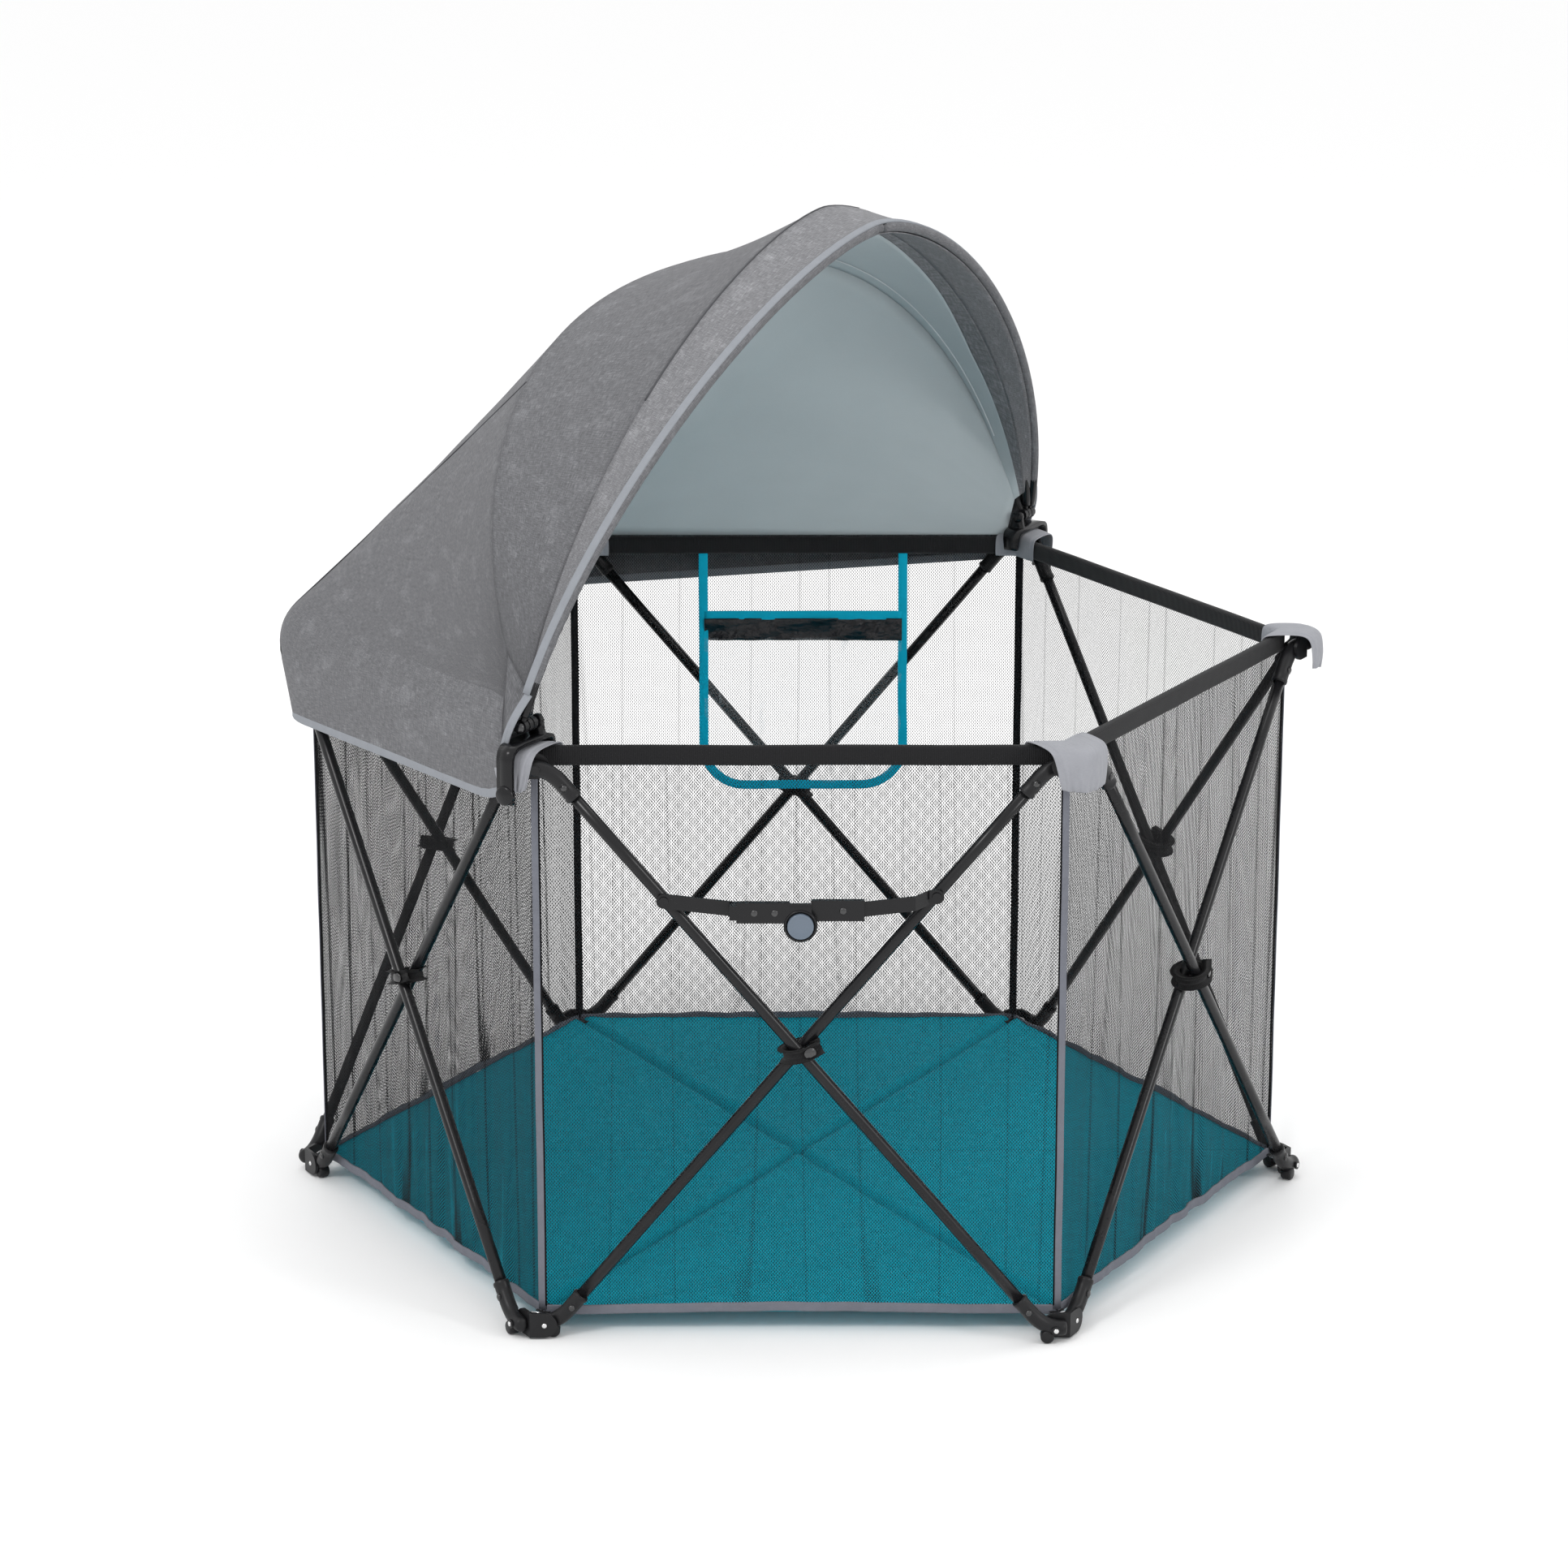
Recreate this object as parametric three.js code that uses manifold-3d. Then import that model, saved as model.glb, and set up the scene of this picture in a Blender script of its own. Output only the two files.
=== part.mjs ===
// A six-sided folding play yard with a clip-on half canopy.
// Millimetres, +Z up. The origin is on the floor under the middle of the yard, and the front panel faces -Y.
// Corners are numbered anticlockwise from the front left one. Panel i spans from corner i to corner i + 1.
import * as THREE from "three";
import { mergeVertices } from "three/addons/utils/BufferGeometryUtils.js";
import Module from "manifold-3d";

const wasm = await Module();
wasm.setup();

// Frame
const CORNER_RADIUS = 625; // plan radius of the corner joints
const SIDE = CORNER_RADIUS; // a regular hexagon's side equals its radius
const TAN_30 = Math.tan(Math.PI / 6);
const TUBE_PLANE = (SIDE / 2) / TAN_30; // distance of a panel's tube plane from the middle
const TUBE_R = 7;
const ELBOW_R = 9;
const LAYER = 8; // each crossing tube lies this far in or out of the tube plane
const PIVOT_IN = 16; // corner pivots lie this far from the corner along the panel
const PIVOT_LOW = 17; // height of the lower corner pivots
const PIVOT_HIGH = 692; // height of the upper corner pivots
const MIDDLE = (PIVOT_LOW + PIVOT_HIGH) / 2; // height of the crossing pivots
const GAP = 0.4; // clearance between neighbouring pieces

// Elbows
const ELBOW_START = 3; // distance of an elbow's closed end from the corner
const ELBOW_KNEE = 30; // where the tube's line meets the elbow's level part
const BEND_BEFORE = 20;
const BEND_AFTER = 24;
const MOUTH = 46; // from the knee to the elbow's open end
const SOCKET_DEPTH = 18;
const PIN_R = 3;
const PIN_HEAD_R = 5.5;
const PIN_HEAD = 2;
const POCKET_R = 17; // flat pocket in the elbow that clears the hub's plate
const FOOT_R = 8.5;
const FOOT_CENTRE = 8;
const FOOT_SHIFT = 10; // from the corner pivot towards the knee

// Hubs
const PLATE = 4; // thickness of a hub's two plates
const PLATE_R = 15;

// Soft enclosure
const MESH_OUT = -21.3; // outer face of the mesh, from the tube plane
const MESH_THICK = 3;
const MESH_LOW = 28;
const RAIL_OUT = -20;
const RAIL_THICK = 10;
const RAIL_LOW = 686;
const RAIL_TOP = 709;
const MAT_LOW = 22;
const MAT_TOP = 30;
const MAT_INSET = 1;
const POCKET_WIDTH = 284;
const POCKET_MIDDLE = 9; // the hanging pocket sits a little to the right of the rear panel's middle
const POCKET_LOW = 362;
const POCKET_TOP = 684;
const POCKET_CORNER = 62;

// Corner covers
const COVER_REACH_BEFORE = 66; // along the panel before the corner
const COVER_REACH_AFTER = 40; // along the panel after the corner
const COVER_OUT = 20;
const COVER_IN = -32.5;
const COVER_SKIN = 2;
const COVER_TOP = 714.5;
const COVER_HEM_OUT = 662;
const COVER_HEM_IN = 684;

// Lock bar on the front panel
const LOCK_REACH = 240; // from the crossing pivot along each tube
const LOCK_PIVOT = 514; // height of the bar's middle pivot
const LINK_HALF = 8.5;
const LINK_THICK = 3;
const LINK_LAYER = 16; // inner face of the links, outside the outer tube
const LINK_PIN_R = 2.2;
const HOUSING_HALF = 12;
const HOUSING_LEVEL = 529;
const HOUSING_NEAR = 12;
const HOUSING_FAR = 72;
const BRIDGE_FAR = 80; // the left housing's bridge back to its strip ends here
const HOUSING_BACK = 17;
const HOUSING_SPLIT = 25; // the left housing lies in front of this depth, the right one behind it
const HOUSING_FRONT = 33;
const KNUCKLE_R = 19.2;
const BUTTON_R = 15.2;
const BUTTON_REST = 32.4;
const BUTTON_THICK = 5;
const BUTTON_POCKET = 29;

// Canopy
const BOW_AXIS = 737; // height of the line that all bows turn on
const BOW_R = 3.5;
const BOW_EYE_R = 8;
const BOW_EYE_THICK = 7;
const BOWS = [
  { name: "canopy_front_bow", span: 622.5, rise: 494, power: 1.6, lean: 103 },
  { name: "canopy_middle_bow", span: 613.5, rise: 495, power: 1.6, lean: 94 },
  { name: "canopy_rear_bow", span: 604.5, rise: 440, power: 2.4, lean: 70 },
];
const CLAMP_HALF = 14;
const CLAMP_WALL = 6;
const CLAMP_IN = 570; // radius of the inner leg's inside face
const CLAMP_OUT = 661;
const CLAMP_TOP = 722.8;
const CLAMP_LEG_IN = 694;
const CLAMP_LEG_OUT = 655;
const POST_NEAR = 588;
const POST_FAR = 594;
const CANOPY_SKIN = 2.5;
const CANOPY_CLEAR = 6; // fabric's distance from the middle of a bow
const CANOPY_SIDE = 24; // the canopy's skirt, out from the tube plane
const CANOPY_RIM = 720;
const CANOPY_END = 45; // the skirt stops this far from the two clamped corners
const CANOPY_HEMS = [655, 617, 640, 675]; // skirt's lower edge at the four corners that it passes
const CANOPY_COLUMNS = 24;
const CANOPY_START = 0.17; // bow angle at which the fabric starts, in radians

const STEEL = { color: 0x323234, roughness: 0.35, metalness: 0.5 };
const PLASTIC = { color: 0x2d2d2f, roughness: 0.6, metalness: 0 };
const WEBBING = { color: 0x1e1e20, roughness: 0.9, metalness: 0 };
const MESH = { color: 0x26262a, roughness: 0.9, metalness: 0 };
const COVER_FABRIC = { color: 0x82888f, roughness: 0.7, metalness: 0 };
const MAT_FABRIC = { color: 0x00808c, roughness: 0.95, metalness: 0 };
const VINYL = { color: 0x0096aa, roughness: 0.3, metalness: 0 };
const CANOPY_FABRIC = { color: 0x7d7e82, roughness: 0.9, metalness: 0 };
const BUTTON_PLASTIC = { color: 0x5f6976, roughness: 0.5, metalness: 0 };

const PANELS = ["front", "right_front", "right_rear", "rear", "left_rear", "left_front"];
const CORNERS = ["front_left", "front_right", "right", "rear_right", "rear_left", "left"];
const REAR_PANEL = 3;

const root = new THREE.Group();

// Booleans

function solid(geometry) {
  const bare = geometry.index ? geometry.toNonIndexed() : geometry.clone();
  bare.deleteAttribute("normal");
  bare.deleteAttribute("uv");
  const merged = mergeVertices(bare, 1e-3);
  return new wasm.Manifold(
    new wasm.Mesh({
      numProp: 3,
      vertProperties: merged.attributes.position.array,
      triVerts: new Uint32Array(merged.index.array),
    }),
  );
}

function geometryOf(made) {
  const mesh = made.getMesh();
  const geometry = new THREE.BufferGeometry();
  geometry.setAttribute("position", new THREE.BufferAttribute(mesh.vertProperties, 3));
  geometry.setIndex(new THREE.BufferAttribute(mesh.triVerts, 1));
  geometry.computeVertexNormals();
  return geometry;
}

function join(...geometries) {
  return geometries.map(solid).reduce((whole, piece) => whole.add(piece));
}

// Basic shapes

// A round bar along Z, between two depths, on the point x, y.
function bar(radius, from, to, x = 0, y = 0, sides = 12) {
  const geometry = new THREE.CylinderGeometry(radius, radius, to - from, sides);
  return geometry.rotateX(Math.PI / 2).translate(x, y, (from + to) / 2);
}

// A flat plate in the XY plane, between two depths.
function plate(shape, from, to, curveSegments = 6) {
  const depth = to - from;
  const geometry = new THREE.ExtrudeGeometry(shape, { depth, bevelEnabled: false, curveSegments });
  return geometry.translate(0, 0, from);
}

function polygon(points) {
  return new THREE.Shape(points.map(([x, y]) => new THREE.Vector2(x, y)));
}

function block(x0, x1, y0, y1, z0, z1) {
  const geometry = new THREE.BoxGeometry(x1 - x0, y1 - y0, z1 - z0);
  return geometry.translate((x0 + x1) / 2, (y0 + y1) / 2, (z0 + z1) / 2);
}

// A round section carried along a curve.
function sweep(path, radius, sides, steps) {
  const ring = Array.from({ length: sides }, (_, k) => {
    const angle = (2 * Math.PI * k) / sides;
    return [radius * Math.cos(angle), radius * Math.sin(angle)];
  });
  return new THREE.ExtrudeGeometry(polygon(ring), { extrudePath: path, steps, bevelEnabled: false });
}

// Placing

// A panel's own frame: X along the panel, Y up, Z outwards, origin on the floor under its middle.
function panelFrame(index) {
  const turn = new THREE.Group();
  turn.rotation.z = (index * Math.PI) / 3;
  const stand = new THREE.Group();
  stand.position.y = -TUBE_PLANE;
  stand.rotation.x = Math.PI / 2;
  turn.add(stand);
  root.add(turn);
  return stand;
}

// A corner's own frame: X outwards along the radius, Y up, origin on the floor under the corner.
function cornerFrame(index) {
  const turn = new THREE.Group();
  turn.rotation.z = ((index - 2) * Math.PI) / 3;
  const stand = new THREE.Group();
  stand.position.x = CORNER_RADIUS;
  stand.rotation.x = Math.PI / 2;
  turn.add(stand);
  root.add(turn);
  return stand;
}

function place(frame, name, geometry, look, turned = 0) {
  const mesh = new THREE.Mesh(geometry, new THREE.MeshStandardMaterial(look));
  mesh.name = name;
  mesh.rotation.y = turned;
  frame.add(mesh);
}

// Frame tubes. In a panel's frame the inner tube rises from left to right; the outer one is the same
// piece turned half a turn about the panel's upright middle line.

const KNEE_X = -SIDE / 2 + ELBOW_KNEE;
const TUBE_ANGLE = Math.atan2(MIDDLE - PIVOT_LOW, -KNEE_X);
const PIVOT_X = -SIDE / 2 + PIVOT_IN;

function alongTube(distance, depth = -LAYER) {
  const x = KNEE_X + distance * Math.cos(TUBE_ANGLE);
  const y = PIVOT_LOW + distance * Math.sin(TUBE_ANGLE);
  return new THREE.Vector3(x, y, depth);
}

function elbow() {
  const knee = alongTube(0);
  const start = new THREE.Vector3(-SIDE / 2 + ELBOW_START, PIVOT_LOW, -LAYER);
  const bendStart = new THREE.Vector3(KNEE_X - BEND_BEFORE, PIVOT_LOW, -LAYER);
  const bendEnd = alongTube(BEND_AFTER);
  const path = new THREE.CurvePath();
  path.add(new THREE.LineCurve3(start, bendStart));
  path.add(new THREE.QuadraticBezierCurve3(bendStart, knee, bendEnd));
  path.add(new THREE.LineCurve3(bendEnd, alongTube(MOUTH)));
  const pocket = bar(POCKET_R, -PLATE / 2 - 1, ELBOW_R, PIVOT_X, PIVOT_LOW, 16);
  return solid(sweep(path, ELBOW_R, 10, 8)).subtract(solid(pocket));
}

function pinHole(x, y) {
  return solid(bar(PIN_R + 0.5, -3 * ELBOW_R, 3 * ELBOW_R, x, y));
}

function footElbow() {
  const socket = new THREE.LineCurve3(alongTube(MOUTH - SOCKET_DEPTH), alongTube(MOUTH + 5));
  const bore = sweep(socket, TUBE_R + GAP, 10, 1);
  const tilt = Math.asin(FOOT_CENTRE / FOOT_R);
  const foot = new THREE.Shape();
  foot.absarc(PIVOT_X + FOOT_SHIFT, FOOT_CENTRE, FOOT_R, -tilt, Math.PI + tilt, false);
  const pad = plate(foot, -LAYER - ELBOW_R, -PLATE / 2 - 1);
  return elbow().subtract(solid(bore)).add(solid(pad)).subtract(pinHole(PIVOT_X, PIVOT_LOW));
}

function tubeLength() {
  return (2 * (MIDDLE - PIVOT_LOW)) / Math.sin(TUBE_ANGLE);
}

function tubeWithTopElbow() {
  const start = alongTube(MOUTH - SOCKET_DEPTH + GAP);
  const end = alongTube(tubeLength() - MOUTH + 1);
  const tube = sweep(new THREE.LineCurve3(start, end), TUBE_R, 10, 1);
  const topElbow = elbow().rotate([0, 0, 180]).translate([0, 2 * MIDDLE, 0]);
  return solid(tube).add(topElbow).subtract(pinHole(-PIVOT_X, PIVOT_HIGH));
}

function lockPin() {
  const reach = tubeLength() / 2 + LOCK_REACH;
  return alongTube(reach);
}

function innerTube(withLock) {
  const head = LAYER + TUBE_R + GAP;
  const shank = bar(PIN_R, -LAYER, head + 1, 0, MIDDLE);
  const pin = join(shank, bar(PIN_HEAD_R, head, head + PIN_HEAD, 0, MIDDLE));
  const tube = tubeWithTopElbow().add(pin);
  return withLock ? tube.subtract(lockHole()) : tube;
}

function outerTube(withLock) {
  const tube = tubeWithTopElbow().subtract(solid(bar(PIN_R + 0.5, -3 * LAYER, 3 * LAYER, 0, MIDDLE)));
  return withLock ? tube.subtract(lockHole()) : tube;
}

function lockHole() {
  const at = lockPin();
  return solid(bar(LINK_PIN_R + GAP, -3 * LAYER, 3 * LAYER, at.x, at.y, 8));
}

function placeTubes() {
  const foot = geometryOf(footElbow());
  PANELS.forEach((panel, index) => {
    const frame = panelFrame(index);
    const withLock = index === 0;
    place(frame, `${panel}_inner_tube`, geometryOf(innerTube(withLock)), STEEL);
    place(frame, `${panel}_outer_tube`, geometryOf(outerTube(withLock)), STEEL, Math.PI);
    place(frame, `${panel}_inner_foot`, foot, PLASTIC);
    place(frame, `${panel}_outer_foot`, foot, PLASTIC, Math.PI);
  });
}

// Corner hubs: two plates meeting at 120 degrees, each with a pin that an elbow turns on.
// In these shapes X runs from the corner along a panel, so it is negative on the panel before the corner.

// Moves the vertices at x = 0 onto the plane that halves the corner, and a little past it.
function mitre(geometry, side) {
  const at = geometry.attributes.position;
  for (let k = 0; k < at.count; k++) {
    if (Math.abs(at.getX(k)) < 1e-4) at.setX(k, -side * (at.getZ(k) * TAN_30 + 0.1));
  }
  return geometry;
}

// Turns a shape drawn along a panel into the corner's own frame.
function toCorner(geometry, side) {
  return geometry.rotateY(side > 0 ? (2 * Math.PI) / 3 : Math.PI / 3);
}

function hubHalf(side, pinSide) {
  const shape = new THREE.Shape();
  shape.moveTo(0, -PLATE_R);
  shape.lineTo(side * PIVOT_IN, -PLATE_R);
  shape.absarc(side * PIVOT_IN, 0, PLATE_R, -Math.PI / 2, Math.PI / 2, side < 0);
  shape.lineTo(0, PLATE_R);
  const leaf = mitre(plate(shape, -PLATE / 2, PLATE / 2), side);
  const head = LAYER + ELBOW_R + GAP;
  const from = pinSide > 0 ? 0 : -head - 1;
  const headFrom = pinSide > 0 ? head : -head - PIN_HEAD;
  const pin = bar(PIN_R, from, from + head + 1, side * PIVOT_IN);
  const rivet = bar(PIN_HEAD_R, headFrom, headFrom + PIN_HEAD, side * PIVOT_IN);
  return join(toCorner(leaf, side), toCorner(pin, side), toCorner(rivet, side));
}

// The inner tube of the panel after a corner stands on its lower hub; the outer tube hangs from its upper hub.
function hub(height, pinSide) {
  const made = hubHalf(1, pinSide).add(hubHalf(-1, -pinSide));
  return geometryOf(made.translate([0, height, 0]));
}

function coverHalf(side) {
  const section = polygon([
    [COVER_IN - COVER_SKIN, COVER_HEM_IN],
    [COVER_IN, COVER_HEM_IN],
    [COVER_IN, COVER_TOP - COVER_SKIN],
    [COVER_OUT, COVER_TOP - COVER_SKIN],
    [COVER_OUT, COVER_HEM_OUT],
    [COVER_OUT + COVER_SKIN, COVER_HEM_OUT],
    [COVER_OUT + COVER_SKIN, COVER_TOP],
    [COVER_IN - COVER_SKIN, COVER_TOP],
  ]);
  const channel = plate(section, side > 0 ? -COVER_REACH_AFTER : 0, side > 0 ? 0 : COVER_REACH_BEFORE);
  return toCorner(mitre(channel.rotateY(-Math.PI / 2), side), side);
}

function placeCorners() {
  const low = hub(PIVOT_LOW, -1);
  const high = hub(PIVOT_HIGH, 1);
  const cover = geometryOf(join(coverHalf(1), coverHalf(-1)));
  CORNERS.forEach((corner, index) => {
    const frame = cornerFrame(index);
    place(frame, `${corner}_bottom_hub`, low, PLASTIC);
    place(frame, `${corner}_top_hub`, high, PLASTIC);
    place(frame, `${corner}_corner_cover`, cover, COVER_FABRIC);
  });
}

// Soft enclosure

// An upright slab along a panel, with both ends cut to meet the next panel's slab.
function mitredSlab(outer, thickness, low, high) {
  const inner = outer - thickness;
  const halfAt = (depth) => (TUBE_PLANE + depth) * TAN_30 - GAP;
  const outline = polygon([
    [-halfAt(outer), -outer],
    [halfAt(outer), -outer],
    [halfAt(inner), -inner],
    [-halfAt(inner), -inner],
  ]);
  return plate(outline, low, high).rotateX(-Math.PI / 2);
}

function wall() {
  const rail = mitredSlab(RAIL_OUT, RAIL_THICK, RAIL_LOW, RAIL_TOP);
  const mesh = mitredSlab(MESH_OUT, MESH_THICK, MESH_LOW, RAIL_LOW + 2);
  return geometryOf(join(rail, mesh));
}

function pocket() {
  const half = POCKET_WIDTH / 2;
  const shape = new THREE.Shape();
  shape.moveTo(-half, POCKET_TOP);
  shape.lineTo(-half, POCKET_LOW + POCKET_CORNER);
  shape.absarc(-half + POCKET_CORNER, POCKET_LOW + POCKET_CORNER, POCKET_CORNER, Math.PI, 1.5 * Math.PI, false);
  shape.absarc(half - POCKET_CORNER, POCKET_LOW + POCKET_CORNER, POCKET_CORNER, 1.5 * Math.PI, 2 * Math.PI, false);
  shape.lineTo(half, POCKET_TOP);
  const out = MESH_OUT - MESH_THICK - 2;
  return plate(shape, out - MESH_THICK, out).translate(-POCKET_MIDDLE, 0, 0);
}

function matHalf(side) {
  const apothem = TUBE_PLANE + MESH_OUT - MESH_THICK - MAT_INSET;
  const radius = apothem / Math.cos(Math.PI / 6);
  const edge = GAP * side;
  const shape = polygon([
    [-radius, edge],
    [-radius / 2, apothem * side],
    [radius / 2, apothem * side],
    [radius, edge],
  ]);
  return plate(shape, MAT_LOW, MAT_TOP);
}

function placeEnclosure() {
  const panelWall = wall();
  PANELS.forEach((panel, index) => {
    const frame = panelFrame(index);
    place(frame, `${panel}_wall`, panelWall, MESH);
    if (index === REAR_PANEL) place(frame, "rear_pocket", pocket(), VINYL);
  });
  place(root, "floor_mat_front", matHalf(-1), MAT_FABRIC);
  place(root, "floor_mat_rear", matHalf(1), MAT_FABRIC);
}

// Lock bar. The left link is riveted to the outer tube and the right one to the inner tube.
// The left half lies in front of the right half, so that they pass each other as the bar folds down.

// A steel strip from a tube's rivet to its housing, following a plan route of distances and depths.
function strip(side, route) {
  const back = [...route].reverse().map(([x, depth]) => [x, depth + LINK_THICK]);
  const outline = polygon([...route, ...back].map(([x, depth]) => [side * x, -depth]));
  const geometry = plate(outline, -LINK_HALF, LINK_HALF).rotateX(-Math.PI / 2);
  const pin = lockPin();
  const slope = (pin.y - HOUSING_LEVEL) / (pin.x - HOUSING_FAR);
  const at = geometry.attributes.position;
  for (let k = 0; k < at.count; k++) {
    const beyond = Math.abs(at.getX(k)) - HOUSING_FAR;
    at.setY(k, at.getY(k) + HOUSING_LEVEL + slope * beyond);
  }
  return geometry;
}

function housing(side, from, to) {
  const [x0, x1] = side < 0 ? [-HOUSING_FAR, -HOUSING_NEAR] : [HOUSING_NEAR, HOUSING_FAR];
  return block(x0, x1, HOUSING_LEVEL - HOUSING_HALF, HOUSING_LEVEL + HOUSING_HALF, from, to);
}

function leftLink() {
  const at = lockPin();
  const face = LINK_LAYER + LINK_THICK;
  const bridgeLow = HOUSING_LEVEL - LINK_HALF;
  const made = join(
    strip(-1, [[at.x, LINK_LAYER], [HOUSING_FAR - 1, LINK_LAYER]]),
    bar(LINK_HALF, LINK_LAYER, face, -at.x, at.y, 16),
    bar(LINK_PIN_R, LAYER - TUBE_R, LINK_LAYER + 1, -at.x, at.y, 8),
    bar(PIN_HEAD_R, face - 1, face + PIN_HEAD, -at.x, at.y),
    block(-BRIDGE_FAR, 1 - HOUSING_FAR, bridgeLow, bridgeLow + 2 * LINK_HALF, LINK_LAYER, HOUSING_FRONT),
    housing(-1, HOUSING_SPLIT, HOUSING_FRONT),
    bar(KNUCKLE_R, HOUSING_SPLIT, HOUSING_FRONT, 0, LOCK_PIVOT, 24),
  );
  const recess = bar(BUTTON_R + GAP, BUTTON_POCKET, HOUSING_FRONT + 1, 0, LOCK_PIVOT, 24);
  return geometryOf(made.subtract(solid(recess)));
}

function rightLink() {
  const at = lockPin();
  const jogStart = at.x - LINK_HALF;
  const jogEnd = jogStart - LINK_LAYER;
  const splitFace = HOUSING_SPLIT - GAP;
  const made = join(
    strip(1, [[at.x, 0], [jogStart, 0], [jogEnd, LINK_LAYER], [HOUSING_FAR - 1, LINK_LAYER]]),
    bar(LINK_HALF, 0, LINK_THICK, at.x, at.y, 16),
    bar(LINK_PIN_R, -LAYER - TUBE_R, 1, at.x, at.y, 8),
    bar(PIN_HEAD_R, LINK_THICK - 1, LINK_THICK + PIN_HEAD, at.x, at.y),
    housing(1, HOUSING_BACK, splitFace),
    bar(KNUCKLE_R, HOUSING_BACK, splitFace, 0, LOCK_PIVOT, 24),
  );
  return geometryOf(made);
}

function placeLockBar() {
  const frame = panelFrame(0);
  place(frame, "lock_left_link", leftLink(), STEEL);
  place(frame, "lock_right_link", rightLink(), STEEL);
  const button = bar(BUTTON_R, BUTTON_REST, BUTTON_REST + BUTTON_THICK, 0, LOCK_PIVOT, 24);
  place(frame, "lock_button", button, BUTTON_PLASTIC);
}

// Canopy. Its bows turn on one line through the front left and rear right corners.

const ALONG = new THREE.Vector3(Math.cos(Math.PI / 3), Math.sin(Math.PI / 3), 0);
const BACK = new THREE.Vector3(-ALONG.y, ALONG.x, 0);

function clamp() {
  const inner = CLAMP_IN - CORNER_RADIUS;
  const outer = CLAMP_OUT - CORNER_RADIUS;
  const saddle = polygon([
    [inner, CLAMP_LEG_IN],
    [inner + CLAMP_WALL, CLAMP_LEG_IN],
    [inner + CLAMP_WALL, CLAMP_TOP - CLAMP_WALL],
    [outer - CLAMP_WALL, CLAMP_TOP - CLAMP_WALL],
    [outer - CLAMP_WALL, CLAMP_LEG_OUT],
    [outer, CLAMP_LEG_OUT],
    [outer, CLAMP_TOP],
    [inner, CLAMP_TOP],
  ]);
  const near = POST_NEAR - CORNER_RADIUS;
  const far = POST_FAR - CORNER_RADIUS;
  const pinEnd = BOWS[0].span + BOW_EYE_THICK - CORNER_RADIUS;
  const across = (geometry) => geometry.rotateY(Math.PI / 2).translate(0, BOW_AXIS, 0);
  return geometryOf(join(
    plate(saddle, -CLAMP_HALF, CLAMP_HALF),
    block(near, far, CLAMP_TOP - 1, BOW_AXIS, -BOW_EYE_R, BOW_EYE_R),
    across(bar(BOW_EYE_R, near, far)),
    across(bar(PIN_R, far - 1, pinEnd)),
  ));
}

// A point on a bow in its own plane, some way outside its middle line.
function bowPoint(bow, angle, clear = 0) {
  const power = 2 / bow.power;
  const x = -Math.sign(Math.cos(angle)) * Math.abs(Math.cos(angle)) ** power;
  const y = Math.abs(Math.sin(angle)) ** power;
  return new THREE.Vector3(x * (bow.span + clear), y * (bow.rise + clear), 0);
}

class BowCurve extends THREE.Curve {
  constructor(bow) {
    super();
    this.bow = bow;
    this.start = Math.asin(((BOW_EYE_R - 2) / bow.rise) ** (bow.power / 2));
  }

  getPoint(t) {
    return bowPoint(this.bow, this.start + t * (Math.PI - 2 * this.start));
  }
}

function bowGeometry(bow) {
  const eyes = [-1, 1].map((side) => {
    const middle = side * bow.span;
    const half = BOW_EYE_THICK / 2;
    return bar(BOW_EYE_R, middle - half, middle + half).rotateY(Math.PI / 2);
  });
  const made = join(sweep(new BowCurve(bow), BOW_R, 8, 36), ...eyes);
  const hole = bar(PIN_R + 0.5, -bow.span - BOW_EYE_R, bow.span + BOW_EYE_R).rotateY(Math.PI / 2);
  return geometryOf(made.subtract(solid(hole)));
}

function placeBows() {
  BOWS.forEach((bow) => {
    const turn = new THREE.Group();
    turn.rotation.z = Math.PI / 3;
    turn.position.z = BOW_AXIS;
    const leaning = new THREE.Group();
    leaning.rotation.x = THREE.MathUtils.degToRad(bow.lean);
    turn.add(leaning);
    root.add(turn);
    place(leaning, bow.name, bowGeometry(bow), STEEL);
  });
}

// The fabric's inner face over one bow, in the part's frame.
function fabricOverBow(bow, share) {
  const angle = CANOPY_START + share * (Math.PI - 2 * CANOPY_START);
  const flat = bowPoint(bow, angle, CANOPY_CLEAR);
  const lean = THREE.MathUtils.degToRad(bow.lean);
  return new THREE.Vector3(0, 0, BOW_AXIS + flat.y * Math.sin(lean))
    .addScaledVector(ALONG, flat.x)
    .addScaledVector(BACK, flat.y * Math.cos(lean));
}

// The skirt runs outside the three panels behind the canopy, from the front left to the rear right corner.
function fabricOnSkirt(share, heights) {
  const radius = (TUBE_PLANE + CANOPY_SIDE) / Math.cos(Math.PI / 6);
  const corners = [4, 3, 2, 1].map((k) => {
    const angle = (k * Math.PI) / 3;
    return new THREE.Vector3(radius * Math.cos(angle), radius * Math.sin(angle), 0);
  });
  const side = Math.min(Math.floor(3 * share), 2);
  const inset = CANOPY_END / radius;
  const from = side === 0 ? inset : 0;
  const to = side === 2 ? 1 - inset : 1;
  const part = THREE.MathUtils.lerp(from, to, 3 * share - side);
  const at = corners[side].clone().lerp(corners[side + 1], part);
  at.z = THREE.MathUtils.lerp(heights[side], heights[side + 1], part);
  return at;
}

function canopyRows() {
  const rim = CANOPY_HEMS.map(() => CANOPY_RIM);
  const shares = Array.from({ length: CANOPY_COLUMNS + 1 }, (_, k) => k / CANOPY_COLUMNS);
  return [
    ...BOWS.map((bow) => shares.map((share) => fabricOverBow(bow, share))),
    shares.map((share) => fabricOnSkirt(share, rim)),
    shares.map((share) => fabricOnSkirt(share, CANOPY_HEMS)),
  ];
}

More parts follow.
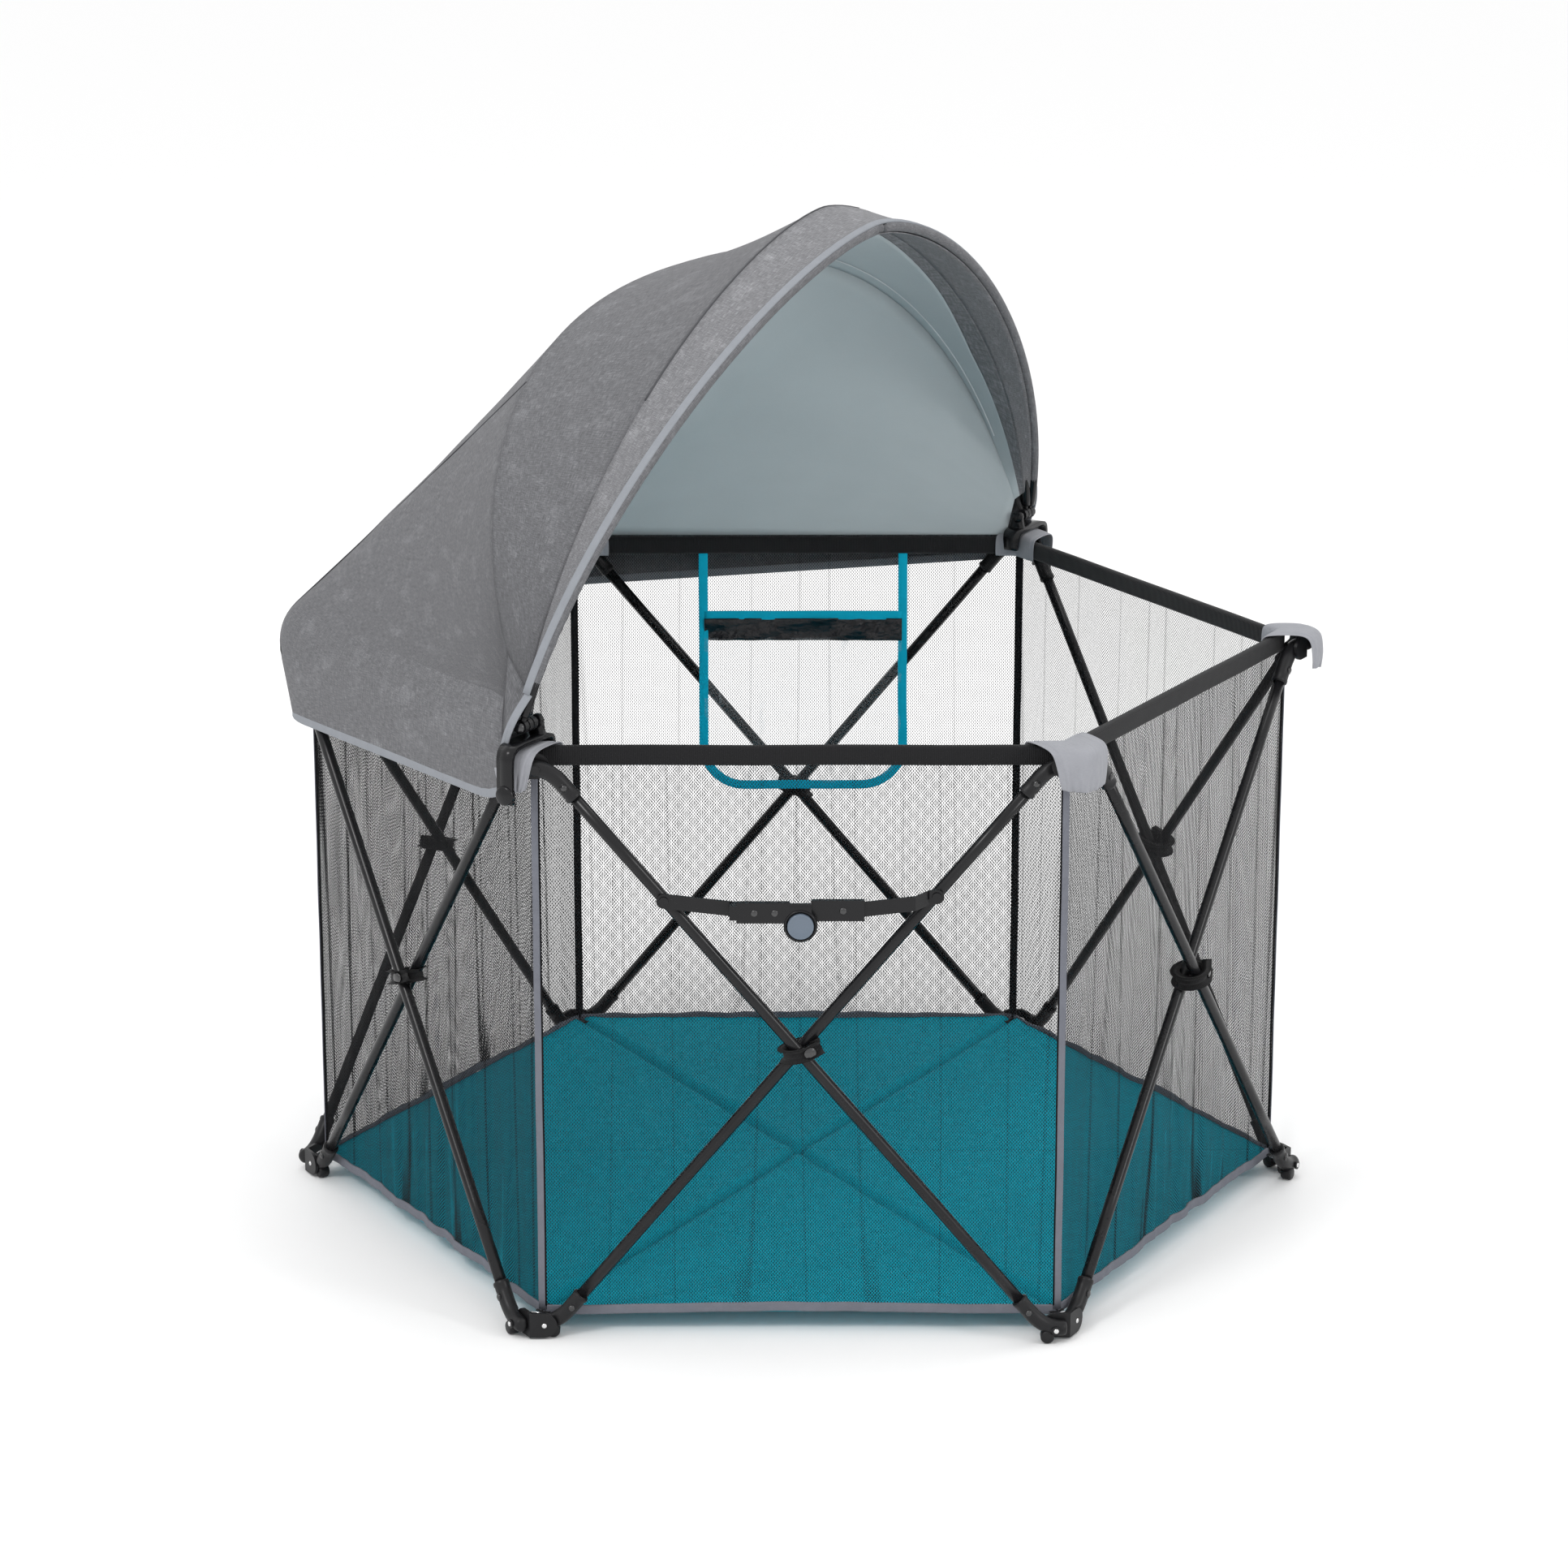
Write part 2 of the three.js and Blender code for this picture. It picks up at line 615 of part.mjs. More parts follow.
// A closed skin on a grid of points: the grid is its inner face.
function skin(rows, thickness) {
  const last = rows.length - 1;
  const width = rows[0].length;
  const outwards = rows.map((row, j) => row.map((_, k) => {
    const down = rows[Math.min(j + 1, last)][k].clone().sub(rows[Math.max(j - 1, 0)][k]);
    const along = row[Math.min(k + 1, width - 1)].clone().sub(row[Math.max(k - 1, 0)]);
    return along.cross(down).normalize().multiplyScalar(thickness);
  }));
  const inner = rows.flat();
  const outer = inner.map((point, n) => point.clone().add(outwards.flat()[n]));
  const index = [];
  const quad = (a, b, c, d) => index.push(a, b, c, a, c, d);
  const shift = inner.length;
  for (let j = 0; j < last; j++) {
    for (let k = 0; k < width - 1; k++) {
      const a = j * width + k;
      quad(a, a + width, a + width + 1, a + 1);
      quad(shift + a, shift + a + 1, shift + a + width + 1, shift + a + width);
    }
    const left = j * width;
    const right = left + width - 1;
    quad(left, shift + left, shift + left + width, left + width);
    quad(right + width, shift + right + width, shift + right, right);
  }
  for (let k = 0; k < width - 1; k++) {
    const end = last * width + k;
    quad(k + 1, shift + k + 1, shift + k, k);
    quad(end, shift + end, shift + end + 1, end + 1);
  }
  return new THREE.BufferGeometry().setFromPoints([...inner, ...outer]).setIndex(index);
}

function placeCanopy() {
  const clampGeometry = clamp();
  place(cornerFrame(0), "canopy_front_clamp", clampGeometry, PLASTIC);
  place(cornerFrame(REAR_PANEL), "canopy_rear_clamp", clampGeometry, PLASTIC);
  placeBows();
  place(root, "canopy_cover", skin(canopyRows(), CANOPY_SKIN), CANOPY_FABRIC);
}

placeTubes();
placeCorners();
placeEnclosure();
placeLockBar();
placeCanopy();

export default root;
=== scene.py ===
"""Travel play yard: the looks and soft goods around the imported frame. Metres, Z up, front panel facing -Y."""
import math

import bmesh
import bpy
import numpy as np
from mathutils import Matrix, Vector, noise


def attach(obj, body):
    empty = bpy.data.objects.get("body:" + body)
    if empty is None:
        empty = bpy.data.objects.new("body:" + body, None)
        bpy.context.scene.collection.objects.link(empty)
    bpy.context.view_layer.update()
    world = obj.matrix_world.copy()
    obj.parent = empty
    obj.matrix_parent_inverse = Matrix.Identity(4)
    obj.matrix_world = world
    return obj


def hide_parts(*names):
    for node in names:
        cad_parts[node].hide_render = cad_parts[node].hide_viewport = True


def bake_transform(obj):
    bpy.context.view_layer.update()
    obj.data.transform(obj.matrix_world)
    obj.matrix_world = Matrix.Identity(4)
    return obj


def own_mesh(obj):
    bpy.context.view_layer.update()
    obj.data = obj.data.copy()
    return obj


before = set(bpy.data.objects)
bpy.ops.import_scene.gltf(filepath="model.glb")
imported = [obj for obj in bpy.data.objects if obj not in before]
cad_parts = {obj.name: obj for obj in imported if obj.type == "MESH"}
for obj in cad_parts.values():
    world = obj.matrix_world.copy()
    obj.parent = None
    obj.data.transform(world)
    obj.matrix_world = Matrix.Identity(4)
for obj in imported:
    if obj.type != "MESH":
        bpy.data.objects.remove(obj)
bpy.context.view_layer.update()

# Sizes shared with the frame
SIDE = 0.625                       # a panel's length between its two corners
TAN_30 = math.tan(math.pi / 6)
PLANE = SIDE / 2 / TAN_30          # distance of a panel's tube plane from the middle
LOW, HIGH = 0.017, 0.692           # heights of the lower and upper corner pivots
MIDDLE = (LOW + HIGH) / 2
PIVOT_X = -SIDE / 2 + 0.016
FOOT_SHIFT = 0.010                 # a foot's distance from its corner pivot, towards the knee
KNEE_X = -SIDE / 2 + 0.030         # where a tube's line meets the level part of its elbow
ANGLE = math.atan2(MIDDLE - LOW, -KNEE_X)
TUBE_LENGTH = 2 * (MIDDLE - LOW) / math.sin(ANGLE)
TUBE_R = 0.007
LAYER = 0.008                      # a crossing tube's distance from the tube plane
NET_W = -0.0228                    # depth of the netting, from the tube plane
RAIL_LOW, RAIL_TOP = 0.686, 0.709
RAIL_IN, RAIL_OUT = -0.0305, -0.0200
LOCK_PIVOT, HOUSING_LEVEL = 0.514, 0.529
BOW_AXIS = 0.737
BOWS = {
    "front": (0.6225, 0.494, 1.6, math.radians(103)),
    "middle": (0.6135, 0.495, 1.6, math.radians(94)),
    "rear": (0.6045, 0.440, 2.4, math.radians(70)),
}
PANELS = ["front", "right_front", "right_rear", "rear", "left_rear", "left_front"]
CORNERS = ["front_left", "front_right", "right", "rear_right", "rear_left", "left"]


def panel(index):
    """Maps (along the panel, up, outwards) to the row frame."""
    turn = Matrix.Rotation(index * math.pi / 3, 4, "Z")
    return turn @ Matrix.Translation((0, -PLANE, 0)) @ Matrix.Rotation(math.pi / 2, 4, "X")


def corner(index):
    """Maps (outwards from a corner, up, across) to the row frame."""
    turn = Matrix.Rotation((index - 2) * math.pi / 3, 4, "Z")
    return turn @ Matrix.Translation((SIDE, 0, 0)) @ Matrix.Rotation(math.pi / 2, 4, "X")


# Node materials

def add(mat, kind, links=None, **props):
    tree = mat.node_tree
    node = tree.nodes.new("ShaderNode" + kind)
    for key, value in props.items():
        setattr(node, key, value)
    for key, value in (links or {}).items():
        if isinstance(value, bpy.types.NodeSocket):
            tree.links.new(value, node.inputs[key])
        else:
            node.inputs[key].default_value = value
    return node


def shader_of(mat):
    return mat.node_tree.nodes["Principled BSDF"]


def link(mat, source, target):
    mat.node_tree.links.new(source, target)


def material(name, color, rough, **settings):
    mat = bpy.data.materials.new(name)
    mat.use_nodes = True
    shader = shader_of(mat)
    shader.inputs["Base Color"].default_value = (*color, 1)
    shader.inputs["Roughness"].default_value = rough
    for key, value in settings.items():
        shader.inputs[key.replace("_", " ")].default_value = value
    return mat


def metres(mat, on_cloth, scale=(1, 1, 1), turn=0.0):
    """Coordinates in metres, along the cloth or in the object, scaled."""
    source = add(mat, "TexCoord").outputs["UV" if on_cloth else "Object"]
    links = {"Vector": source, "Scale": scale, "Rotation": (0, 0, turn)}
    return add(mat, "Mapping", links).outputs[0]


def math_node(mat, operation, a, b=0.0):
    return add(mat, "Math", {0: a, 1: b}, operation=operation).outputs[0]


def noise_node(mat, vector, scale, detail=3.0, rough=0.55):
    links = {"Vector": vector, "Scale": scale, "Detail": detail, "Roughness": rough}
    return add(mat, "TexNoise", links).outputs[0]


def ramp(mat, factor, stops):
    node = add(mat, "ValToRGB", {"Fac": factor})
    elements = node.color_ramp.elements
    while len(elements) < len(stops):
        elements.new(0.5)
    for element, (at, color) in zip(elements, stops):
        element.position = at
        element.color = (*color, 1)
    return node.outputs[0]


def bump(mat, height, distance, strength=1.0, normal=None):
    links = {"Height": height, "Distance": distance, "Strength": strength}
    if normal is not None:
        links["Normal"] = normal
    out = add(mat, "Bump", links).outputs[0]
    link(mat, out, shader_of(mat).inputs["Normal"])
    return out


def weave_height(mat, pitch, on_cloth=True):
    """Plain weave: threads that pass over and under each other."""
    vector = metres(mat, on_cloth, (math.pi / pitch,) * 3)
    parts = add(mat, "SeparateXYZ", {0: vector})
    across = math_node(mat, "SINE", parts.outputs[0])
    along = math_node(mat, "SINE", parts.outputs[1])
    return math_node(mat, "MULTIPLY", across, along)


def cloth(name, color, rough, pitch, spread=0.12, sheen=0.0, bump_height=0.00015, mottle=60):
    """Woven cloth with thread relief and slightly uneven dye."""
    mat = material(name, color, rough, Sheen_Weight=sheen, Sheen_Roughness=0.5, Specular_IOR_Level=0.12)
    dye = noise_node(mat, metres(mat, True), mottle, 4)
    threads = noise_node(mat, metres(mat, True, (260, 1800, 1)), 1.0, 2)
    halves = [math_node(mat, "MULTIPLY", part, 0.5) for part in (dye, threads)]
    mixed = math_node(mat, "ADD", *halves)
    dark = tuple(c * (1 - spread) for c in color)
    light = tuple(min(1, c * (1 + spread)) for c in color)
    link(mat, ramp(mat, mixed, [(0.3, dark), (0.7, light)]), shader_of(mat).inputs["Base Color"])
    first = bump(mat, weave_height(mat, pitch), bump_height)
    bump(mat, dye, 0.0006, 0.4, first)
    return mat


def crease_shaded_mat(name, color):
    """Mat cloth with painted shade: darker along the two creases that cross the mat from corner to corner."""
    mat = cloth(name, color, 0.8, 0.0008, 0.16)
    parts = add(mat, "SeparateXYZ", {0: metres(mat, True)})
    half_y = math_node(mat, "MULTIPLY", parts.outputs[1], 0.5)
    tall_x = math_node(mat, "MULTIPLY", parts.outputs[0], math.sqrt(3) / 2)
    waver = math_node(mat, "MULTIPLY", noise_node(mat, metres(mat, True), 9, 2), 0.006)
    offs = [math_node(mat, "ABSOLUTE", math_node(mat, "ADD", math_node(mat, kind, half_y, tall_x), waver))
            for kind in ("ADD", "SUBTRACT")]
    nearest = math_node(mat, "MINIMUM", *offs)
    # Painted shade in the creases: the colour is multiplied down to 0.74 on a crease's line and back to full 12
    # mm away.
    fade = {"Value": nearest, "From Max": 0.012, "To Min": 0.74, "To Max": 1.0}
    shade = add(mat, "MapRange", fade).outputs[0]
    shader = shader_of(mat)
    dyed = shader.inputs["Base Color"].links[0].from_socket
    links = {0: dyed, 1: add(mat, "CombineXYZ", {0: shade, 1: shade, 2: shade}).outputs[0]}
    link(mat, add(mat, "VectorMath", links, operation="MULTIPLY").outputs[0], shader.inputs["Base Color"])
    return mat


def heather(name, color, light):
    """Grey canopy cloth: fine slubs both ways under cloudy, brush-like lighter patches."""
    mat = material(name, color, 0.85, Sheen_Weight=0.05, Sheen_Roughness=0.5, Specular_IOR_Level=0.2)
    slub_u = noise_node(mat, metres(mat, True, (90, 950, 1)), 1.0, 3)
    slub_v = noise_node(mat, metres(mat, True, (950, 90, 1)), 1.0, 3)
    clouds = noise_node(mat, metres(mat, True, (24, 24, 1)), 1.0, 3, 0.6)
    dashes = noise_node(mat, metres(mat, True, (45, 420, 1)), 1.0, 2)
    slubs = math_node(mat, "ADD", slub_u, slub_v)
    fade = {"Value": clouds, "From Min": 0.52, "From Max": 0.72, "To Max": 0.17}
    patch = add(mat, "MapRange", fade).outputs[0]
    brushed = math_node(mat, "MULTIPLY", patch, dashes)
    mixed = math_node(mat, "ADD", math_node(mat, "MULTIPLY", slubs, 0.5), brushed)
    stops = [(0.40, tuple(c * 0.72 for c in color)), (0.52, color), (0.68, light)]
    link(mat, ramp(mat, mixed, stops), shader_of(mat).inputs["Base Color"])
    first = bump(mat, weave_height(mat, 0.0009), 0.00012)
    bump(mat, slubs, 0.0002, 0.5, first)
    return mat


def net(name, pitch_u, pitch_v, hole, color, crease):
    """Warp-knitted net: round holes in staggered rows, narrower along a few upright creases."""
    mat = material(name, color, 0.85, Specular_IOR_Level=0.1)
    place = metres(mat, True, (1 / pitch_u, 1 / pitch_v, 1))
    shares = []
    for shift in (0.0, 0.5):
        moved = add(mat, "VectorMath", {0: place, 1: (shift, shift, 0)}, operation="ADD").outputs[0]
        part = add(mat, "VectorMath", {0: moved}, operation="FRACTION").outputs[0]
        centred = add(mat, "VectorMath", {0: part, 1: (0.5, 0.5, 0)}, operation="SUBTRACT").outputs[0]
        pitch = (pitch_u, pitch_v, 0)
        sized = add(mat, "VectorMath", {0: centred, 1: pitch}, operation="MULTIPLY").outputs[0]
        shares.append(add(mat, "VectorMath", {0: sized}, operation="LENGTH").outputs["Value"])
    nearest = math_node(mat, "MINIMUM", *shares)
    waves = noise_node(mat, metres(mat, True, (13, 0.35, 1)), 1.0, 0)
    off_crease = math_node(mat, "ABSOLUTE", math_node(mat, "SUBTRACT", waves, 0.5))
    links = {"Value": off_crease, "From Max": 0.012, "To Min": hole - crease, "To Max": hole}
    opening = add(mat, "MapRange", links).outputs[0]
    link(mat, math_node(mat, "GREATER_THAN", nearest, opening), shader_of(mat).inputs["Alpha"])
    bump(mat, nearest, 0.4)
    return mat


def webbing(name, color, rib):
    """Ribbed polyester webbing: ribs across its length, with a faint weave, and painted shade that darkens the
    grooves and lightens the rib crests.
    """
    mat = material(name, color, 0.7, Sheen_Weight=0.08, Sheen_Roughness=0.4, Specular_IOR_Level=0.2)
    vector = metres(mat, True, (2 * math.pi / rib, 2 * math.pi / rib, 1))
    parts = add(mat, "SeparateXYZ", {0: vector})
    ribs = math_node(mat, "SINE", parts.outputs[0])
    picks = math_node(mat, "SINE", math_node(mat, "MULTIPLY", parts.outputs[1], 1.7))
    height = math_node(mat, "ADD", ribs, math_node(mat, "MULTIPLY", picks, 0.35))
    # Painted shade and highlight: the colour follows the rib height, darker in the grooves and lighter on the
    # crests.
    rib_shade = math_node(mat, "MULTIPLY_ADD", height, 0.16)
    rib_shade.node.inputs[2].default_value = 0.5
    stops = [(0.2, tuple(c * 0.55 for c in color)), (0.8, tuple(c * 1.6 for c in color))]
    link(mat, ramp(mat, rib_shade, stops), shader_of(mat).inputs["Base Color"])
    bump(mat, height, 0.00025)
    return mat


def moulded(name, color, rough, grain=0.00004, **settings):
    """Moulded plastic: fine grain, with handling marks that change its gloss."""
    mat = material(name, color, rough, **settings)
    fine = noise_node(mat, metres(mat, False), 1400, 2)
    wear = noise_node(mat, metres(mat, False), 35, 5, 0.6)
    spread = add(mat, "MapRange", {"Value": wear, "To Min": rough - 0.08, "To Max": rough + 0.1})
    link(mat, spread.outputs[0], shader_of(mat).inputs["Roughness"])
    bump(mat, fine, grain, 0.6)
    return mat


def painted_steel(name):
    """Dark powder coat: a slight orange peel under a satin gloss."""
    mat = material(name, (0.007, 0.007, 0.008), 0.3, Specular_IOR_Level=0.28)
    peel = noise_node(mat, metres(mat, False), 420, 2)
    wear = noise_node(mat, metres(mat, False), 18, 5, 0.65)
    stops = [(0.3, (0.006, 0.006, 0.007)), (0.7, (0.010, 0.010, 0.011))]
    link(mat, ramp(mat, wear, stops), shader_of(mat).inputs["Base Color"])
    spread = add(mat, "MapRange", {"Value": wear, "To Min": 0.20, "To Max": 0.34})
    link(mat, spread.outputs[0], shader_of(mat).inputs["Roughness"])
    bump(mat, peel, 0.00005, 0.5)
    return mat


def clear_vinyl_painted_glints():
    mat = material("clear_vinyl_painted_glints", (0.75, 0.80, 0.84), 0.06, IOR=1.5)
    # Painted glints: where the noise peaks, the pale vinyl turns more opaque and shows as white streaks that
    # stand in for reflections; elsewhere it stays nearly clear.
    wave = noise_node(mat, metres(mat, True, (26, 7, 1)), 1.0, 3, 0.5)
    stops = [(0.0, (0.05,) * 3), (0.62, (0.08,) * 3), (0.70, (0.35,) * 3), (1.0, (0.45,) * 3)]
    link(mat, ramp(mat, wave, stops), shader_of(mat).inputs["Alpha"])
    bump(mat, noise_node(mat, metres(mat, True), 30, 3), 0.004)
    return mat


def black_vinyl():
    mat = material("black_vinyl", (0.006, 0.006, 0.008), 0.09, Specular_IOR_Level=0.25, Coat_Weight=0.35,
                   Coat_Roughness=0.03)
    bump(mat, noise_node(mat, metres(mat, True, (1, 1.6, 1)), 38, 3), 0.010)
    return mat


STEEL = painted_steel("powder_coated_steel")
PLASTIC = moulded("elbow_plastic", (0.010, 0.010, 0.011), 0.38, Specular_IOR_Level=0.26)
GLOSS = moulded("clamp_plastic", (0.005, 0.005, 0.006), 0.24, 0.00002, Specular_IOR_Level=0.30)
BUTTON = moulded("button_plastic", (0.100, 0.130, 0.170), 0.32, 0.00002, Coat_Weight=0.3)
CHROME = moulded("bright_metal", (0.72, 0.72, 0.72), 0.22, 0.00001, Metallic=1.0)
RIVET = moulded("black_rivet", (0.006, 0.006, 0.007), 0.20, 0.00001, Specular_IOR_Level=0.9)
NET = net("black_net", 0.0036, 0.0044, 0.00143, (0.012, 0.012, 0.013), 0.00012)
SIDE_NET = net("slack_black_net", 0.0036, 0.0044, 0.00130, (0.012, 0.012, 0.013), 0.00042)
RAIL = webbing("rail_webbing", (0.009, 0.009, 0.010), 0.0021)
STRAP = webbing("strap_webbing", (0.012, 0.012, 0.013), 0.0014)
BINDING = cloth("grey_binding", (0.165, 0.172, 0.200), 0.75, 0.0006)
BLACK_TAPE = cloth("black_tape", (0.010, 0.010, 0.011), 0.8, 0.0007, 0.3)
COVER = cloth("cover_cloth", (0.300, 0.306, 0.332), 0.62, 0.0007, 0.08, 0.1)
MAT = crease_shaded_mat("teal_mat_cloth", (0.000, 0.330, 0.440))
TEAL_TAPE = cloth("teal_tape", (0.000, 0.400, 0.590), 0.55, 0.0009, 0.10, 0.0, 0.0001)
CANOPY = heather("heathered_canopy_cloth", (0.133, 0.134, 0.142), (0.222, 0.225, 0.237))
BAND = heather("heathered_band_cloth", (0.182, 0.183, 0.193), (0.310, 0.313, 0.326))
LINING = cloth("silver_lining", (0.455, 0.510, 0.530), 0.45, 0.0007, 0.04, 0.0, 0.00006, 12)
TRIM = cloth("canopy_binding", (0.265, 0.280, 0.305), 0.65, 0.0006, 0.08)
SEAM_THREAD = cloth("seam_thread", (0.075, 0.076, 0.082), 0.8, 0.0006, 0.1)
STITCH = cloth("pale_stitching", (0.700, 0.730, 0.740), 0.8, 0.0006, 0.1)
CLEAR_VINYL_PAINTED_GLINTS = clear_vinyl_painted_glints()
BLACK_VINYL = black_vinyl()

# Mesh builders

def make(name, verts, faces, look, face_uvs=None, closed=True):
    mesh = bpy.data.meshes.new(name)
    mesh.from_pydata([tuple(v) for v in verts], [], faces)
    mesh.materials.append(look)
    if face_uvs is not None:
        layer = mesh.uv_layers.new(name="UVMap")
        flat = [uv for face in face_uvs for uv in face]
        for item, uv in zip(layer.data, flat):
            item.uv = uv
    mesh.shade_smooth()
    obj = bpy.data.objects.new(name, mesh)
    bpy.context.collection.objects.link(obj)
    if closed:
        outward(obj)
    return obj


def outward(obj):
    """Turns a closed mesh's faces to point out of it."""
    work = bmesh.new()
    work.from_mesh(obj.data)
    bmesh.ops.recalc_face_normals(work, faces=work.faces)
    work.to_mesh(obj.data)
    work.free()


def curve(first, peak, last, t):
    """A point of the soft bend from first to last that leans towards peak."""
    return first * (1 - t) ** 2 + 2 * t * (1 - t) * peak + last * t ** 2


def lengths(points):
    steps = np.linalg.norm(np.diff(points, axis=0), axis=1)
    return np.concatenate([[0.0], np.cumsum(steps)])


def grid(name, points, look, around=False, caps=False, uvs=None):
    """A surface over rows of points. UVs are metres along and across the cloth unless given."""
    points = np.asarray(points, float)
    rows, columns = points.shape[:2]
    ring = np.concatenate([points, points[:, :1]], 1) if around else points
    u = lengths(points.mean(1) if around else points[:, columns // 2])
    v = lengths(ring[rows // 2])
    faces, face_uvs = [], []
    for i in range(rows - 1):
        for j in range(ring.shape[1] - 1):
            k = (j + 1) % columns
            faces.append((i * columns + j, (i + 1) * columns + j, (i + 1) * columns + k, i * columns + k))
            if uvs is None:
                face_uvs.append(((u[i], v[j]), (u[i + 1], v[j]), (u[i + 1], v[j + 1]), (u[i], v[j + 1])))
            else:
                face_uvs.append((uvs[i][j], uvs[i + 1][j], uvs[i + 1][k], uvs[i][k]))
    if caps:
        for i in (0, rows - 1):
            cap = [i * columns + j for j in range(columns)]
            faces.append(cap if i else cap[::-1])
            face_uvs.append([(u[i], v[j]) for j in range(columns)])
    return make(name, points.reshape(-1, 3), faces, look, face_uvs, around)


def on(matrix, points):
    """Local points, moved to the row frame."""
    points = np.asarray(points, float)
    m = np.array(matrix)
    return points @ m[:3, :3].T + m[:3, 3]


def frames(path, up):
    """Tangent, side and normal at each point of a path, with the normal near up."""
    tangent = np.gradient(path, axis=0)
    tangent /= np.linalg.norm(tangent, axis=1, keepdims=True)
    up = np.broadcast_to(np.asarray(up, float), path.shape)
    side = np.cross(tangent, up)
    side /= np.linalg.norm(side, axis=1, keepdims=True)
    return tangent, side, np.cross(side, tangent)


def swept(name, path, up, section, look, matrix=None):
    """A closed section of (side, normal) offsets carried along a path."""
    path = np.asarray(path, float)
    _, side, normal = frames(path, up)
    rings = [[p + s * a + n * b for a, b in section] for p, s, n in zip(path, side, normal)]
    rings = rings if matrix is None else on(matrix, rings)
    return grid(name, rings, look, around=True, caps=True)


def rounded(width, height, radius, steps=3):
    """A rectangle's outline with rounded corners."""
    points = []
    for cx, cy, start in ((1, 1, 0), (-1, 1, 90), (-1, -1, 180), (1, -1, 270)):
        for k in range(steps + 1):
            angle = math.radians(start + 90 * k / steps)
            points.append((cx * (width / 2 - radius) + radius * math.cos(angle),
                           cy * (height / 2 - radius) + radius * math.sin(angle)))
    return points


def tape(name, path, up, width, thick, look, matrix=None):
    return swept(name, path, up, rounded(width, thick, thick * 0.45), look, matrix)


def round_bar(name, path, radii, look, matrix=None, sides=20, up=(0, 0, 1)):
    """A round bar or tube along a path, with a radius at each point."""
    path = np.asarray(path, float)
    _, side, normal = frames(path, up)
    angles = [2 * math.pi * k / sides for k in range(sides)]
    rings = [[p + r * (s * math.cos(a) + n * math.sin(a)) for a in angles]
             for p, s, n, r in zip(path, side, normal, radii)]
    rings = rings if matrix is None else on(matrix, rings)
    return grid(name, rings, look, around=True, caps=True)


def turned(name, at, axis, profile, look, matrix=None, sides=24):
    """A turned piece: (distance along the axis, radius) pairs round an axis."""
    axis = np.array(Vector(axis).normalized())
    path = [np.array(at) + axis * d for d, _ in profile]
    up = (0, 0, 1) if abs(axis[2]) < 0.9 else (1, 0, 0)
    side = np.array(Vector(axis).cross(Vector(up)).normalized())
    other = np.cross(axis, side)
    angles = [2 * math.pi * k / sides for k in range(sides)]
    rings = [[p + r * (side * math.cos(a) + other * math.sin(a)) for a in angles]
             for p, (_, r) in zip(path, profile)]
    rings = rings if matrix is None else on(matrix, rings)
    return grid(name, rings, look, around=True, caps=True)


def domed(name, at, axis, radius, height, look, matrix=None):
    """A domed rivet head or snap."""
    steps = [k / 5 for k in range(6)]
    cap = [(height * math.sin(t * math.pi / 2), radius * math.cos(t * math.pi / 2) + 1e-5) for t in steps]
    return turned(name, at, axis, [(-height, radius * 0.97), (0, radius)] + cap[1:], look, matrix)


def joined(name, pieces):
    """Several meshes made one object, keeping their materials."""
    bpy.ops.object.select_all(action="DESELECT")
    for piece in pieces:
        piece.select_set(True)
    bpy.context.view_layer.objects.active = pieces[0]
    bpy.ops.object.join()
    pieces[0].name = name
    pieces[0].data.name = name
    return pieces[0]


def thicken(obj, thickness, offset=0.0):
    modifier = obj.modifiers.new("Thickness", "SOLIDIFY")
    modifier.thickness = thickness
    modifier.offset = offset
    return obj


def smoothed():
    """A node group that shades a CAD node smooth except across its sharp edges."""
    tree = bpy.data.node_groups.new("smooth_by_angle", "GeometryNodeTree")
    tree.interface.new_socket("Geometry", in_out="INPUT", socket_type="NodeSocketGeometry")
    tree.interface.new_socket("Geometry", in_out="OUTPUT", socket_type="NodeSocketGeometry")
    start = tree.nodes.new("NodeGroupInput")
    end = tree.nodes.new("NodeGroupOutput")
    faces = tree.nodes.new("GeometryNodeSetShadeSmooth")
    edges = tree.nodes.new("GeometryNodeSetShadeSmooth")
    edges.domain = "EDGE"
    angle = tree.nodes.new("GeometryNodeInputMeshEdgeAngle")
    flat = tree.nodes.new("FunctionNodeCompare")
    flat.operation = "LESS_THAN"
    flat.inputs[1].default_value = math.radians(50)
    tree.links.new(angle.outputs[0], flat.inputs[0])
    tree.links.new(start.outputs[0], faces.inputs["Geometry"])
    tree.links.new(faces.outputs[0], edges.inputs["Geometry"])
    tree.links.new(flat.outputs[0], edges.inputs["Shade Smooth"])
    tree.links.new(edges.outputs[0], end.inputs[0])
    return tree


SMOOTH = smoothed()


def dress(node, look, bevel=0.0):
    """Gives a CAD node its material, rounded edges and smooth shading."""
    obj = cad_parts[node]
    obj.data.materials.clear()
    obj.data.materials.append(look)
    if bevel:
        modifier = obj.modifiers.new("Edges", "BEVEL")
        modifier.width = bevel
        modifier.segments = 2
        modifier.limit_method = "ANGLE"
        modifier.angle_limit = math.radians(45)
    obj.modifiers.new("Smooth", "NODES").node_group = SMOOTH


# Frame tubes, elbows and feet

def along_tube(distance, depth=-LAYER):
    return (KNEE_X + distance * math.cos(ANGLE), LOW + distance * math.sin(ANGLE), depth)


